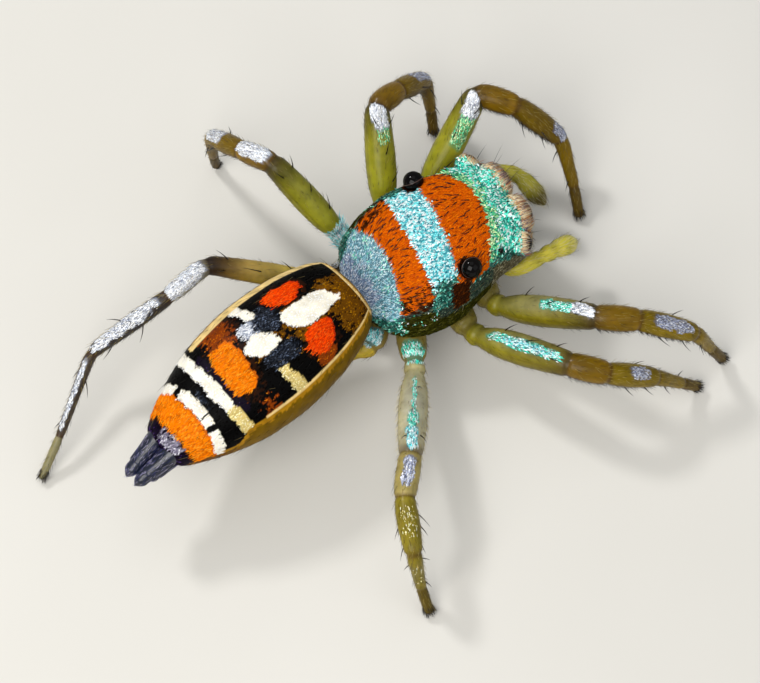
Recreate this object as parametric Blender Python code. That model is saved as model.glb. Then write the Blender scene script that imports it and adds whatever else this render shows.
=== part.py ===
"""A jumping spider as a still, life-size model, in closed solids.

The spider faces -Y, its left side is +X and up is +Z. Sizes are named in
millimetres and turned into metres where a mesh is made. It is built about
a point on the floor under its rear eyes, and the empty that carries every
piece then moves the whole model over the middle of its own outline.
"""
import math
import random
from dataclasses import dataclass

import bmesh
import bpy
from mathutils import Matrix, Vector

MM = 0.001
SEAM = 0.07
WELD = 1e-7
SHORTEST_EDGE = 4e-6
SEED = 11

# Carapace: half width, height of the top and height of the widest place along Y
CARAPACE_FRONT = -1.50
CARAPACE_REAR = 2.03
CARAPACE_WIDTHS = ((-1.50, 0.66), (-1.42, 0.90), (-1.25, 1.06), (-1.0, 1.125), (-0.6, 1.17),
                   (-0.2, 1.29), (0.15, 1.38), (0.6, 1.45), (1.0, 1.42), (1.4, 1.30),
                   (1.66, 1.12), (1.85, 0.82), (1.97, 0.48), (2.03, 0.20))
CARAPACE_TOPS = ((-1.50, 2.40), (-1.35, 2.51), (-1.0, 2.61), (-0.2, 2.70), (0.4, 2.64),
                 (0.95, 2.44), (1.4, 2.13), (1.75, 1.86), (2.03, 1.66))
CARAPACE_LEVELS = ((-1.50, 2.08), (-0.9, 2.02), (-0.2, 1.80), (0.5, 1.56), (1.2, 1.52), (2.03, 1.52))
CARAPACE_BOTTOM = 1.39
HEAD_SQUARENESS = 3.0
REAR_SQUARENESS = 2.25
CARAPACE_RINGS = 18
CARAPACE_SIDES = 30
# The front body leans a little: what lies below the rear eyes is set over to the right
FRONT_LEAN = 0.10
LEAN_HEIGHT = 2.49

# Eyes: centre of the left one, and radius
EYES = {
    "anterior_median": ((0.40, -1.33, 2.24), 0.375),
    "anterior_lateral": ((0.99, -1.15, 2.28), 0.205),
    "posterior_median": ((1.07, -0.68, 2.44), 0.085),
    "posterior_lateral": ((1.07, 0.0, 2.49), 0.20),
}
EYE_SEAM = 0.035

# Underside of the front body
STERNUM_CENTRE = (0.0, 0.55, 1.08)
STERNUM_HALF = (0.52, 1.18, 0.24)
LABIUM_CENTRE = (0.0, -0.88, 1.06)
LABIUM_HALF = (0.17, 0.23, 0.15)
ENDITE_CENTRE = (0.25, -1.06, 1.08)
ENDITE_HALF = (0.21, 0.32, 0.19)

# Jaws: a stout tube down from the head, with a fang across its tip
CHELICERA_TOP = (0.31, -1.44, 1.60)
CHELICERA_TIP = (0.30, -1.62, 0.78)
CHELICERA_RADII = (0.26, 0.29, 0.16)
FANG_LENGTH = 0.40
FANG_RADIUS = 0.06
FANG_ROOT = 0.17
FANG_DIRECTION = (-0.70, 0.35, -0.62)

# Palps: joints from the mouth outward, where the first three are the base
PALP_JOINTS = {
    "left": ((0.42, -0.92, 1.08), (0.95, -1.20, 1.28), (1.02, -1.95, 1.36), (0.70, -2.25, 1.30),
             (0.03, -2.44, 1.02)),
    "right": ((-0.42, -0.92, 1.08), (-0.98, -1.02, 1.24), (-1.05, -1.60, 1.34), (-1.03, -1.95, 1.30),
              (-0.98, -2.52, 1.08)),
}
PALP_BASE_RADII = (0.19, 0.21, 0.20)
PALP_TIP_RADII = (0.20, 0.25, 0.13)

# Abdomen: an axis that swings to the right, and its half width and height along it
ABDOMEN_FRONT = (-0.13, 2.06, 2.14)
ABDOMEN_REAR = (-1.24, 6.68, 1.98)
ABDOMEN_WIDTHS = ((0.0, 0.50), (0.03, 0.76), (0.12, 1.0), (0.28, 1.19), (0.45, 1.25), (0.62, 1.18),
                  (0.78, 0.97), (0.90, 0.72), (0.97, 0.53), (1.0, 0.36))
ABDOMEN_HEIGHT_RATIO = 0.75
ABDOMEN_SQUARENESS = 2.15
ABDOMEN_RINGS = 20
ABDOMEN_SIDES = 28

PEDICEL_PATH = ((-0.08, 1.30, 1.30), (-0.10, 1.80, 1.42), (-0.20, 2.60, 1.76))
PEDICEL_RADIUS = 0.25

# Spinnerets: base and tip of the left one, measured from the abdomen's rear end
SPINNERETS = {
    "upper": ((0.22, -0.25, 0.10), (0.16, 0.74, -0.16), (0.24, 0.22, 0.10)),
    "lower": ((0.20, -0.25, -0.22), (0.14, 0.46, -0.42), (0.18, 0.17, 0.09)),
}

# Legs: lengths of femur, patella, tibia, metatarsus and tarsus by pair
LEG_LENGTHS = {
    1: (2.38, 0.82, 1.29, 1.05, 0.65),
    2: (2.22, 0.74, 1.14, 0.98, 0.58),
    3: (2.23, 0.81, 1.11, 1.14, 0.58),
    4: (2.54, 0.94, 1.86, 1.72, 0.90),
}
LEG_STOUTNESS = {1: 1.0, 2: 1.0, 3: 0.92, 4: 0.96}
# Radius at the start, middle and end of each leg segment, coxa first
SEGMENT_RADII = {
    "coxa": (0.25, 0.33, 0.25),
    "femur": (0.25, 0.40, 0.25),
    "patella": (0.25, 0.29, 0.24),
    "tibia": (0.24, 0.26, 0.21),
    "metatarsus": (0.20, 0.18, 0.17),
    "tarsus": (0.17, 0.15, 0.14),
}
SEGMENT_NAMES = ("coxa", "femur", "patella", "tibia", "metatarsus", "tarsus")
FOOT_HEIGHT = 0.10
FOOT_PAD_RADIUS = 0.15
JOINT_BEND = 0.26
RING_SPACING = 0.25
# Where each coxa leaves the sternum: Y of its root, by pair
COXA_ROOT_Y = {1: -0.42, 2: 0.26, 3: 0.96, 4: 1.60}
COXA_ROOT_X = 0.16
COXA_ROOT_Z = 1.03

# Leg spines: segment, place along it, turn from the back of the leg, length
SPINE_LAYOUT = (
    ("femur", 0.34, 12.0, 0.46), ("femur", 0.60, -8.0, 0.52), ("femur", 0.86, 34.0, 0.48),
    ("femur", 0.88, -38.0, 0.46), ("tibia", 0.26, 132.0, 0.44), ("tibia", 0.40, -128.0, 0.46),
    ("tibia", 0.72, 136.0, 0.42), ("tibia", 0.80, -132.0, 0.42), ("tibia", 0.56, 70.0, 0.40),
    ("metatarsus", 0.20, 110.0, 0.38), ("metatarsus", 0.32, -105.0, 0.38),
    ("metatarsus", 0.82, 60.0, 0.30),
)
SPINE_RADIUS = 0.048
SPINE_TIP_RADIUS = 0.012
SPINE_LEAN = 52.0
SPINE_JITTER = 9.0
SPINE_SIDES = 4
SPINE_ROOT_DEPTH = 0.14
SPINE_FLOOR_CLEARANCE = 0.06


@dataclass(frozen=True)
class LegStance:
    """How one leg stands: its hip in mm, then swing and lift of each segment in degrees.

    A swing of 0 points straight out from the body and 90 points forward. The
    tarsus has no lift of its own, because it always reaches down to the floor.
    """

    side: str
    pair: int
    hip: tuple
    swings: tuple
    lifts: tuple
    bare: tuple = ()


LEGS = (
    LegStance("left", 1, (1.31, -0.33, 1.08), (62, 134, 133, 188, 194), (30, -10, -42, -43)),
    LegStance("left", 2, (1.35, 0.45, 1.06), (24, 68, 68, 155, 197), (42, -23, -38, -80)),
    LegStance("left", 3, (1.35, 1.39, 1.05), (-30, -24, -14, 20, 49), (46, -20, -32, -78)),
    LegStance("left", 4, (0.62, 2.11, 1.06), (-63, -102, -88, -128, -121), (24, -7, -24, -22)),
    LegStance("right", 1, (-1.38, -0.37, 1.08), (34, 61, 61, 79, 62), (32, -9, -28, -65)),
    LegStance("right", 2, (-1.69, 0.30, 1.06), (29, 49, 71, 81, 75), (23, -8, -30, -50)),
    LegStance("right", 3, (-1.74, 1.59, 1.05), (-33, -39, -21, 5, -7), (19, -12, -1, -78)),
    LegStance("right", 4, (-0.98, 2.12, 1.00), (-116, 172, 96, 90, 82), (-10, -14, 0, -2),
              bare=("femur",)),
)

MATERIALS = {
    "carapace": ((0.10, 0.42, 0.44), 0.35, 0.5),
    "eye": ((0.01, 0.01, 0.012), 0.05, 0.0),
    "abdomen": ((0.62, 0.32, 0.06), 0.45, 0.0),
    "spinneret": ((0.03, 0.03, 0.06), 0.5, 0.0),
    "limb": ((0.42, 0.40, 0.10), 0.4, 0.0),
    "limb_dark": ((0.25, 0.22, 0.08), 0.45, 0.0),
    "mouth": ((0.30, 0.22, 0.08), 0.45, 0.0),
}


def make_materials():
    """Make one Principled material for each kind of surface."""
    made = {}
    for name, (colour, roughness, metallic) in MATERIALS.items():
        material = bpy.data.materials.new(name)
        material.use_nodes = True
        shader = material.node_tree.nodes["Principled BSDF"]
        shader.inputs["Base Color"].default_value = (*colour, 1.0)
        shader.inputs["Roughness"].default_value = roughness
        shader.inputs["Metallic"].default_value = metallic
        made[name] = material
    return made


def curve_through(stations, place):
    """Read a smooth monotone curve through (place, value) stations."""
    if place <= stations[0][0]:
        return stations[0][1]
    if place >= stations[-1][0]:
        return stations[-1][1]
    slopes = [(b[1] - a[1]) / (b[0] - a[0]) for a, b in zip(stations, stations[1:])]
    for index, (start, end) in enumerate(zip(stations, stations[1:])):
        if place <= end[0]:
            break
    before = slopes[max(index - 1, 0)]
    after = slopes[min(index + 1, len(slopes) - 1)]
    here = slopes[index]
    tangents = [0.0 if before * here <= 0 else 2 * before * here / (before + here),
                0.0 if here * after <= 0 else 2 * here * after / (here + after)]
    width = end[0] - start[0]
    u = (place - start[0]) / width
    return (start[1] * (1 + 2 * u) * (1 - u) ** 2 + end[1] * u * u * (3 - 2 * u)
            + width * (tangents[0] * u * (1 - u) ** 2 - tangents[1] * u * u * (1 - u)))


def mirrored(point, sign):
    """Return the point on the left side for sign 1, or its mirror image for -1."""
    return Vector((point[0] * sign, point[1], point[2]))


def leaned(point):
    """Set a point of the front body over by its lean."""
    return Vector((point.x - FRONT_LEAN * (LEAN_HEIGHT - point.z), point.y, point.z))


def new_object(name, mesh, collection):
    """Wrap a mesh in an object of the given collection."""
    thing = bpy.data.objects.new(name, mesh)
    collection.objects.link(thing)
    return thing


def mesh_of(bm, name):
    """Turn a bmesh in millimetres into a mesh in metres."""
    bmesh.ops.scale(bm, vec=(MM, MM, MM), verts=bm.verts)
    bmesh.ops.recalc_face_normals(bm, faces=bm.faces)
    mesh = bpy.data.meshes.new(name)
    bm.to_mesh(mesh)
    bm.free()
    return mesh


def shaped_ball(name, sides, rings, place):
    """Bend a UV sphere into a long body: place(s, turn) gives each vertex its point."""
    bm = bmesh.new()
    bmesh.ops.create_uvsphere(bm, u_segments=sides, v_segments=rings, radius=1.0)
    for vertex in bm.verts:
        along = (1.0 - vertex.co.z) / 2.0
        pole = math.hypot(vertex.co.x, vertex.co.y) < 1e-4
        turn = 0.0 if pole else math.atan2(vertex.co.y, vertex.co.x)
        vertex.co = place(along, turn, pole)
    return mesh_of(bm, name)


def rounded_section(half_width, height, turn, squareness):
    """Give the point of a superellipse that is seen at an angle from its centre."""
    cos_part = abs(math.cos(turn) / half_width) ** squareness
    sin_part = abs(math.sin(turn) / height) ** squareness
    reach = (cos_part + sin_part) ** (-1.0 / squareness)
    return reach * math.cos(turn), reach * math.sin(turn)


def carapace_mesh(grow=0.0):
    """Make the shield over the front body, or a copy that is grown all round."""

    def place(along, turn, pole):
        y = CARAPACE_FRONT + (CARAPACE_REAR - CARAPACE_FRONT) * along
        half_width = curve_through(CARAPACE_WIDTHS, y) + grow
        level = curve_through(CARAPACE_LEVELS, y)
        top = curve_through(CARAPACE_TOPS, y) - level + grow
        height = top if math.sin(turn) > 0 else level - CARAPACE_BOTTOM + grow
        squareness = HEAD_SQUARENESS + (REAR_SQUARENESS - HEAD_SQUARENESS) * along
        x, z = rounded_section(half_width, max(height, 0.05), turn, squareness)
        if pole:
            x, z = 0.0, 0.3 * top
        return leaned(Vector((x, y + grow * (2 * along - 1), level + z)))

    return shaped_ball("carapace_shape", CARAPACE_SIDES, CARAPACE_RINGS, place)


def abdomen_frame():
    """Give the abdomen's front point, its axis and its sideways and upward directions."""
    front, rear = Vector(ABDOMEN_FRONT), Vector(ABDOMEN_REAR)
    axis = rear - front
    across = axis.cross(Vector((0, 0, 1))).normalized()
    upward = across.cross(axis).normalized()
    return front, axis, across, upward


def abdomen_mesh(grow=0.0):
    """Make the long rear body, or a copy that is grown all round."""
    front, axis, across, upward = abdomen_frame()

    def place(along, turn, pole):
        half_width = curve_through(ABDOMEN_WIDTHS, along)
        x, z = rounded_section(half_width + grow, half_width * ABDOMEN_HEIGHT_RATIO + grow, turn,
                               ABDOMEN_SQUARENESS)
        if pole:
            x, z = 0.0, 0.0
        push = axis.normalized() * grow * (2 * along - 1)
        return front + axis * along + push + across * x + upward * z

    return shaped_ball("abdomen_shape", ABDOMEN_SIDES, ABDOMEN_RINGS, place)


def ellipsoid_mesh(centre, half, sides=16, rings=10, grow=0.0):
    """Make an ellipsoid with the given half sizes."""
    bm = bmesh.new()
    bmesh.ops.create_uvsphere(bm, u_segments=sides, v_segments=rings, radius=1.0)
    size = Matrix.Diagonal([*(value + grow for value in half), 1.0])
    bmesh.ops.transform(bm, matrix=Matrix.Translation(centre) @ size, verts=bm.verts)
    return mesh_of(bm, "ellipsoid")


def cone_mesh(root, direction, length, radius, tip_radius, sides):
    """Make a thin closed cone from its root along a direction."""
    bm = bmesh.new()
    turn = direction.to_track_quat("Z", "Y").to_matrix().to_4x4()
    middle = Matrix.Translation(root + direction * (length / 2))
    bmesh.ops.create_cone(bm, cap_ends=True, cap_tris=False, segments=sides, radius1=radius,
                          radius2=tip_radius, depth=length, matrix=middle @ turn)
    return mesh_of(bm, "cone")


def tube_mesh(points, radii, resolution=3):
    """Make a closed tube along points as a bevelled curve, and read it as a mesh."""
    curve = bpy.data.curves.new("tube", "CURVE")
    curve.dimensions = "3D"
    curve.bevel_depth = MM
    curve.bevel_resolution = resolution
    curve.use_fill_caps = True
    spline = curve.splines.new("POLY")
    spline.points.add(len(points) - 1)
    for control, point, radius in zip(spline.points, points, radii):
        control.co = (*(Vector(point) * MM), 1.0)
        control.radius = radius
    guide = new_object("tube_guide", curve, bpy.context.scene.collection)
    bpy.context.view_layer.update()
    evaluated = guide.evaluated_get(bpy.context.evaluated_depsgraph_get())
    mesh = bpy.data.meshes.new_from_object(evaluated)
    bpy.data.objects.remove(guide)
    bm = bmesh.new()
    bm.from_mesh(mesh)
    bmesh.ops.remove_doubles(bm, verts=bm.verts, dist=WELD)
    bmesh.ops.recalc_face_normals(bm, faces=bm.faces)
    bm.to_mesh(mesh)
    bm.free()
    return mesh


def keep_largest_shell(bm):
    """Delete every closed surface of the bmesh but the one with the most faces."""
    left = set(bm.faces)
    shells = []
    while left:
        shell, edge = set(), [left.pop()]
        while edge:
            face = edge.pop()
            shell.add(face)
            near = {other for side in face.edges for other in side.link_faces}
            edge.extend(near & left)
            left -= near
        shells.append(shell)
    largest = max(shells, key=len)
    loose = [face for shell in shells if shell is not largest for face in shell]
    bmesh.ops.delete(bm, geom=loose, context="FACES")


def cut_flat_at_floor(bm):
    """Slice off whatever lies below the floor and close the cut with a flat face."""
    geometry = bm.verts[:] + bm.edges[:] + bm.faces[:]
    cut = bmesh.ops.bisect_plane(bm, geom=geometry, dist=WELD, plane_co=(0, 0, 0),
                                 plane_no=(0, 0, 1), clear_inner=True)
    rim = [item for item in cut["geom_cut"] if isinstance(item, bmesh.types.BMEdge)]
    bmesh.ops.holes_fill(bm, edges=rim, sides=0)


def add_boolean(target, meshes, operation):
    """Join or cut the target with a collection of helper objects."""
    group = bpy.data.collections.new(f"{target.name}_{operation.lower()}")
    bpy.context.scene.collection.children.link(group)
    for mesh in meshes:
        helper = new_object(f"{target.name}_helper", mesh, group)
        helper.hide_render = True
        helper.display_type = "WIRE"
    modifier = target.modifiers.new(operation.lower(), "BOOLEAN")
    modifier.operation = operation
    modifier.operand_type = "COLLECTION"
    modifier.collection = group
    modifier.solver = "EXACT"
    return group


def solid(name, meshes, material, group, cutters=(), on_floor=False):
    """Fuse meshes into one closed body, cut it clear of its neighbours and name it."""
    work = new_object(f"{name}_work", meshes[0], bpy.context.scene.collection)
    helpers = []
    if len(meshes) > 1:
        helpers.append(add_boolean(work, meshes[1:], "UNION"))
    if cutters:
        helpers.append(add_boolean(work, cutters, "DIFFERENCE"))
    bpy.context.view_layer.update()
    evaluated = work.evaluated_get(bpy.context.evaluated_depsgraph_get())
    mesh = bpy.data.meshes.new_from_object(evaluated)
    for helper in helpers:
        for thing in list(helper.objects):
            bpy.data.objects.remove(thing)
        bpy.data.collections.remove(helper)
    bpy.data.objects.remove(work)
    bm = bmesh.new()
    bm.from_mesh(mesh)
    bmesh.ops.dissolve_degenerate(bm, dist=SHORTEST_EDGE, edges=bm.edges)
    if on_floor:
        cut_flat_at_floor(bm)
    keep_largest_shell(bm)
    bmesh.ops.recalc_face_normals(bm, faces=bm.faces)
    bm.to_mesh(mesh)
    bm.free()
    mesh.shade_smooth()
    mesh.set_sharp_from_angle(angle=math.radians(50))
    mesh.materials.clear()
    mesh.materials.append(material)
    mesh.name = name
    return new_object(name, mesh, group)


def blend_radius(radii, fraction):
    """Read a radius between the start, middle and end values of a piece."""
    start, middle, end = radii
    rest = 1.0 - fraction
    return start * rest * rest + 2 * middle * fraction * rest + end * fraction * fraction


def rounded_end(distance, radius):
    """Shrink a tube's radius near its end so that the end is a dome."""
    if distance >= radius:
        return 1.0
    return math.sqrt(max(1.0 - (1.0 - distance / radius) ** 2, 0.06))


def lobe_mesh(joints, radii, resolution=3, steps=9):
    """Make a tube through a few joints that swells by three radii and ends in a dome."""
    stations = [Vector(joint) for joint in joints]
    path = SmoothPath(stations, 0.12)
    points, sizes = [], []
    for step in range(steps + 1):
        fraction = math.sin(0.5 * math.pi * step / steps)
        place = path.length * fraction
        radius = blend_radius(radii, fraction)
        points.append(path.point(place))
        sizes.append(radius * rounded_end(path.length - place, radius))
    return tube_mesh(points, sizes, resolution)


class SmoothPath:
    """A polyline whose corners are rounded, read by its length from the start."""

    def __init__(self, joints, bend):
        """Round each inner joint over a stretch of about twice the bend length."""
        self.points = [joints[0]]
        self.marks = [0.0]
        corners = []
        for before, joint, after in zip(joints, joints[1:], joints[2:]):
            into, out = (joint - before).normalized(), (after - joint).normalized()
            start, end = joint - into * bend, joint + out * bend
            for step in range(7):
                u = step / 6
                self.points.append(start * (1 - u) ** 2 + joint * 2 * u * (1 - u) + end * u * u)
            corners.append(len(self.points) - 4)
        self.points.append(joints[-1])
        self.distances = [0.0]
        for a, b in zip(self.points, self.points[1:]):
            self.distances.append(self.distances[-1] + (b - a).length)
        self.length = self.distances[-1]
        self.marks += [self.distances[corner] for corner in corners] + [self.length]

    def point(self, place):
        """Give the point at a distance from the start."""
        for index in range(1, len(self.distances)):
            if place <= self.distances[index] or index == len(self.distances) - 1:
                break
        low, high = self.distances[index - 1], self.distances[index]
        fraction = min(max((place - low) / (high - low), 0.0), 1.0)
        return self.points[index - 1].lerp(self.points[index], fraction)

    def tangent(self, place):
        """Give the direction of travel at a distance from the start."""
        step = 0.02
        return (self.point(min(place + step, self.length)) - self.point(max(place - step, 0))).normalized()


class Leg:
    """One leg: a rounded path from the sternum to the floor, cut into four nodes."""

    def __init__(self, stance):
        """Work out the joints of the leg from its stance and its pair's lengths."""
        self.stance = stance
        self.sign = 1 if stance.side == "left" else -1
        root = leaned(Vector((COXA_ROOT_X * self.sign, COXA_ROOT_Y[stance.pair], COXA_ROOT_Z)))
        joints = [root, Vector(stance.hip)]
        lengths = LEG_LENGTHS[stance.pair]
        for length, swing, lift in zip(lengths, stance.swings, stance.lifts):
            joints.append(joints[-1] + self.direction(swing, lift) * length)
        drop = (joints[-1].z - FOOT_HEIGHT) / lengths[-1]
        lift = -math.degrees(math.asin(min(drop, 1.0)))
        joints.append(joints[-1] + self.direction(stance.swings[-1], lift) * lengths[-1])
        self.path = SmoothPath(joints, JOINT_BEND)
        self.outward = (joints[-1] - joints[1]) * Vector((1, 1, 0))

    def direction(self, swing, lift):
        """Turn a swing and a lift in degrees into a direction."""
        swing, lift = math.radians(swing), math.radians(lift)
        return Vector((self.sign * math.cos(swing) * math.cos(lift),
                       -math.sin(swing) * math.cos(lift), math.sin(lift)))

    def radius(self, place):
        """Give the leg's radius at a distance along its path."""
        marks = self.path.marks
        for index, name in enumerate(SEGMENT_NAMES):
            if place <= marks[index + 1] or index == len(SEGMENT_NAMES) - 1:
                break
        fraction = (place - marks[index]) / (marks[index + 1] - marks[index])
        stoutness = LEG_STOUTNESS[self.stance.pair]
        return stoutness * blend_radius(SEGMENT_RADII[name], min(max(fraction, 0.0), 1.0))

    def stretch_mesh(self, first, last):
        """Make the tube of the segments from first to last, short of the seams at each end."""
        marks = self.path.marks
        start = marks[first] + (SEAM / 2 if first else 0.0)
        end = marks[last + 1] - (SEAM / 2 if last < len(SEGMENT_NAMES) - 1 else 0.0)
        count = max(3, round((end - start) / RING_SPACING))
        places = [start + (end - start) * step / count for step in range(count + 1)]
        radii = [self.radius(place) for place in places]
        if last == len(SEGMENT_NAMES) - 1:
            radii[-1] *= 0.7
        return tube_mesh([self.path.point(place) for place in places], radii)

    def spine_mesh(self, segment, fraction, turn, length, draw):
        """Make one leg spine, or nothing where it would reach the floor."""
        index = SEGMENT_NAMES.index(segment)
        low, high = self.path.marks[index], self.path.marks[index + 1]
        place = low + (high - low) * (fraction + draw.uniform(-0.03, 0.03))
        tangent = self.path.tangent(place)
        back = Vector((0, 0, 1)) + self.outward.normalized() * 0.4
        back = (back - tangent * back.dot(tangent)).normalized()
        side = tangent.cross(back)
        angle = math.radians(turn + draw.uniform(-SPINE_JITTER, SPINE_JITTER)) * self.sign
        out = back * math.cos(angle) + side * math.sin(angle)
        lean = math.radians(SPINE_LEAN + draw.uniform(-SPINE_JITTER, SPINE_JITTER))
        direction = (out * math.cos(lean) + tangent * math.sin(lean)).normalized()
        surface = self.path.point(place) + out * self.radius(place)
        root = surface - direction * SPINE_ROOT_DEPTH
        whole = length * draw.uniform(0.85, 1.1) + SPINE_ROOT_DEPTH
        if (root + direction * whole).z < SPINE_FLOOR_CLEARANCE:
            return None
        return cone_mesh(root, direction, whole, SPINE_RADIUS, SPINE_TIP_RADIUS, SPINE_SIDES)

    def spine_meshes(self, segments, draw):
        """Make the spines of some segments in a fixed order."""
        made = []
        for segment, fraction, turn, length in SPINE_LAYOUT:
            if segment in segments and segment not in self.stance.bare:
                made.append(self.spine_mesh(segment, fraction, turn, length, draw))
        return [mesh for mesh in made if mesh]

    def build(self, materials, group, draw):
        """Make the coxa, femur, shin and foot of the leg."""
        name = f"leg_{self.stance.side}_{self.stance.pair}"
        body = (carapace_mesh(SEAM), sternum_mesh(SEAM), pedicel_mesh(SEAM))
        solid(f"{name}_coxa", [self.stretch_mesh(0, 0)], materials["limb"], group, body)
        femur = [self.stretch_mesh(1, 1), *self.spine_meshes(("femur",), draw)]
        solid(f"{name}_femur", femur, materials["limb"], group)
        shin = [self.stretch_mesh(2, 3), *self.spine_meshes(("patella", "tibia"), draw)]
        solid(f"{name}_patella_tibia", shin, materials["limb_dark"], group)
        pad_centre = self.path.point(self.path.length - FOOT_PAD_RADIUS * 0.5)
        pad = ellipsoid_mesh(pad_centre, (FOOT_PAD_RADIUS,) * 3, 10, 7)
        foot = [self.stretch_mesh(4, 5), pad, *self.spine_meshes(("metatarsus",), draw)]
        solid(f"{name}_metatarsus_tarsus", foot, materials["limb_dark"], group, on_floor=True)


def sternum_mesh(grow=0.0):
    """Make the plate between the coxae, or a copy that is grown all round."""
    return ellipsoid_mesh(leaned(Vector(STERNUM_CENTRE)), STERNUM_HALF, 20, 10, grow)


def pedicel_mesh(grow=0.0):
    """Make the waist as a plain tube, or a stouter copy of it."""
    return tube_mesh(PEDICEL_PATH, (PEDICEL_RADIUS + grow,) * len(PEDICEL_PATH))


def mouth_meshes(grow=0.0):
    """Make the lower lip and the two plates beside it."""
    lip = ellipsoid_mesh(leaned(Vector(LABIUM_CENTRE)), LABIUM_HALF, 12, 8, grow)
    plates = []
    for sign in (1, -1):
        centre = leaned(mirrored(ENDITE_CENTRE, sign))
        plates.append(ellipsoid_mesh(centre, ENDITE_HALF, 12, 8, grow))
    return [lip, *plates]


def build_head(materials, group):
    """Make the carapace with its eight eyes, each in a socket of its own."""
    sockets = []
    for name, (centre, radius) in EYES.items():
        sides, rings = (18, 11) if radius > 0.3 else (12, 8)
        for side, sign in (("left", 1), ("right", -1)):
            place = leaned(mirrored(centre, sign))
            ball = ellipsoid_mesh(place, (radius,) * 3, sides, rings)
            solid(f"eye_{name}_{side}", [ball], materials["eye"], group)
            sockets.append(ellipsoid_mesh(place, (radius + EYE_SEAM,) * 3, sides, rings))
    solid("carapace", [carapace_mesh()], materials["carapace"], group, sockets)


def build_underside(materials, group):
    """Make the sternum, the mouth plates and the jaws."""
    shield = carapace_mesh(SEAM)
    solid("sternum", [sternum_mesh()], materials["mouth"], group, [shield])
    solid("mouthparts", mouth_meshes(), materials["mouth"], group, [carapace_mesh(SEAM), sternum_mesh(SEAM)])
    for side, sign in (("left", 1), ("right", -1)):
        top, tip = leaned(mirrored(CHELICERA_TOP, sign)), leaned(mirrored(CHELICERA_TIP, sign))
        jaw = lobe_mesh((top, top.lerp(tip, 0.5), tip), CHELICERA_RADII)
        fang = cone_mesh(tip.lerp(top, FANG_ROOT), mirrored(FANG_DIRECTION, sign).normalized(),
                         FANG_LENGTH, FANG_RADIUS, SPINE_TIP_RADIUS, 6)
        clear = [carapace_mesh(SEAM), *mouth_meshes(SEAM)]
        solid(f"chelicera_{side}", [jaw, fang], materials["mouth"], group, clear)


def build_palps(materials, group):
    """Make each palp in two pieces, a base and a tip that bends down."""
    for side, joints in PALP_JOINTS.items():
        path = SmoothPath([Vector(joint) for joint in joints], 0.14)
        split = path.marks[2]
        ranges = (("base", 0.0, split - SEAM / 2, PALP_BASE_RADII),
                  ("tip", split + SEAM / 2, path.length, PALP_TIP_RADII))
        for part, start, end, radii in ranges:
            points, sizes = [], []
            for step in range(8):
                fraction = math.sin(0.5 * math.pi * step / 7) if part == "tip" else step / 7
                place = start + (end - start) * fraction
                radius = blend_radius(radii, fraction)
                dome = rounded_end(path.length - place, radius)
                points.append(path.point(place))
                sizes.append(radius * dome)
            clear = [carapace_mesh(SEAM), *mouth_meshes(SEAM)] if part == "base" else ()
            solid(f"palp_{side}_{part}", [tube_mesh(points, sizes)], materials["limb"], group, clear)


def build_rear_body(materials, group):
    """Make the waist, the abdomen and the four spinnerets at its end."""
    solid("abdomen", [abdomen_mesh()], materials["abdomen"], group)
    clear = [carapace_mesh(SEAM), sternum_mesh(SEAM), abdomen_mesh(SEAM)]
    solid("pedicel", [pedicel_mesh()], materials["mouth"], group, clear)
    front, axis, across, upward = abdomen_frame()
    along = axis.normalized()
    for level, (base, tip, radii) in SPINNERETS.items():
        for side, sign in (("left", 1), ("right", -1)):
            ends = []
            for x, y, z in (base, tip):
                ends.append(front + axis + across * (-x * sign) + along * y + upward * z)
            lobe = lobe_mesh((ends[0], ends[0].lerp(ends[1], 0.5), ends[1]), radii)
            solid(f"spinneret_{level}_{side}", [lobe], materials["spinneret"], group, [abdomen_mesh(SEAM)])


def centre_model(group):
    """Parent every piece to one empty that stands the model on the middle of its outline."""
    corners = []
    for thing in group.objects:
        corners += [thing.matrix_world @ vertex.co for vertex in thing.data.vertices]
    middle_x = (min(c.x for c in corners) + max(c.x for c in corners)) / 2
    middle_y = (min(c.y for c in corners) + max(c.y for c in corners)) / 2
    carrier = bpy.data.objects.new("spider", None)
    carrier.empty_display_size = MM
    group.objects.link(carrier)
    carrier.location = (-middle_x, -middle_y, -min(c.z for c in corners))
    for thing in group.objects:
        if thing is not carrier:
            thing.parent = carrier


def main():
    """Build the whole spider."""
    for thing in list(bpy.data.objects):
        bpy.data.objects.remove(thing)
    group = bpy.data.collections.new("jumping_spider")
    bpy.context.scene.collection.children.link(group)
    materials = make_materials()
    build_head(materials, group)
    build_underside(materials, group)
    build_palps(materials, group)
    build_rear_body(materials, group)
    draw = random.Random(SEED)
    for stance in LEGS:
        Leg(stance).build(materials, group, draw)
    centre_model(group)


if __name__ == "__main__":
    main()
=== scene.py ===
"""Looks of a life-size jumping spider: skins, scale coats, eyes, spines, hairs and claws.

Sizes are in millimetres in the spider's own frame: it faces -Y, its left side is +X and the
origin is on the floor under the middle of its rear eyes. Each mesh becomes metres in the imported
frame as it is made. Every skin is a smooth surface that is read by two numbers from 0 to 1:
along runs from the head or the root to the tip, and around runs once round from the underside.
"""
import logging
import math
from collections.abc import Callable
from dataclasses import dataclass, field
from enum import Enum

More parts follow.
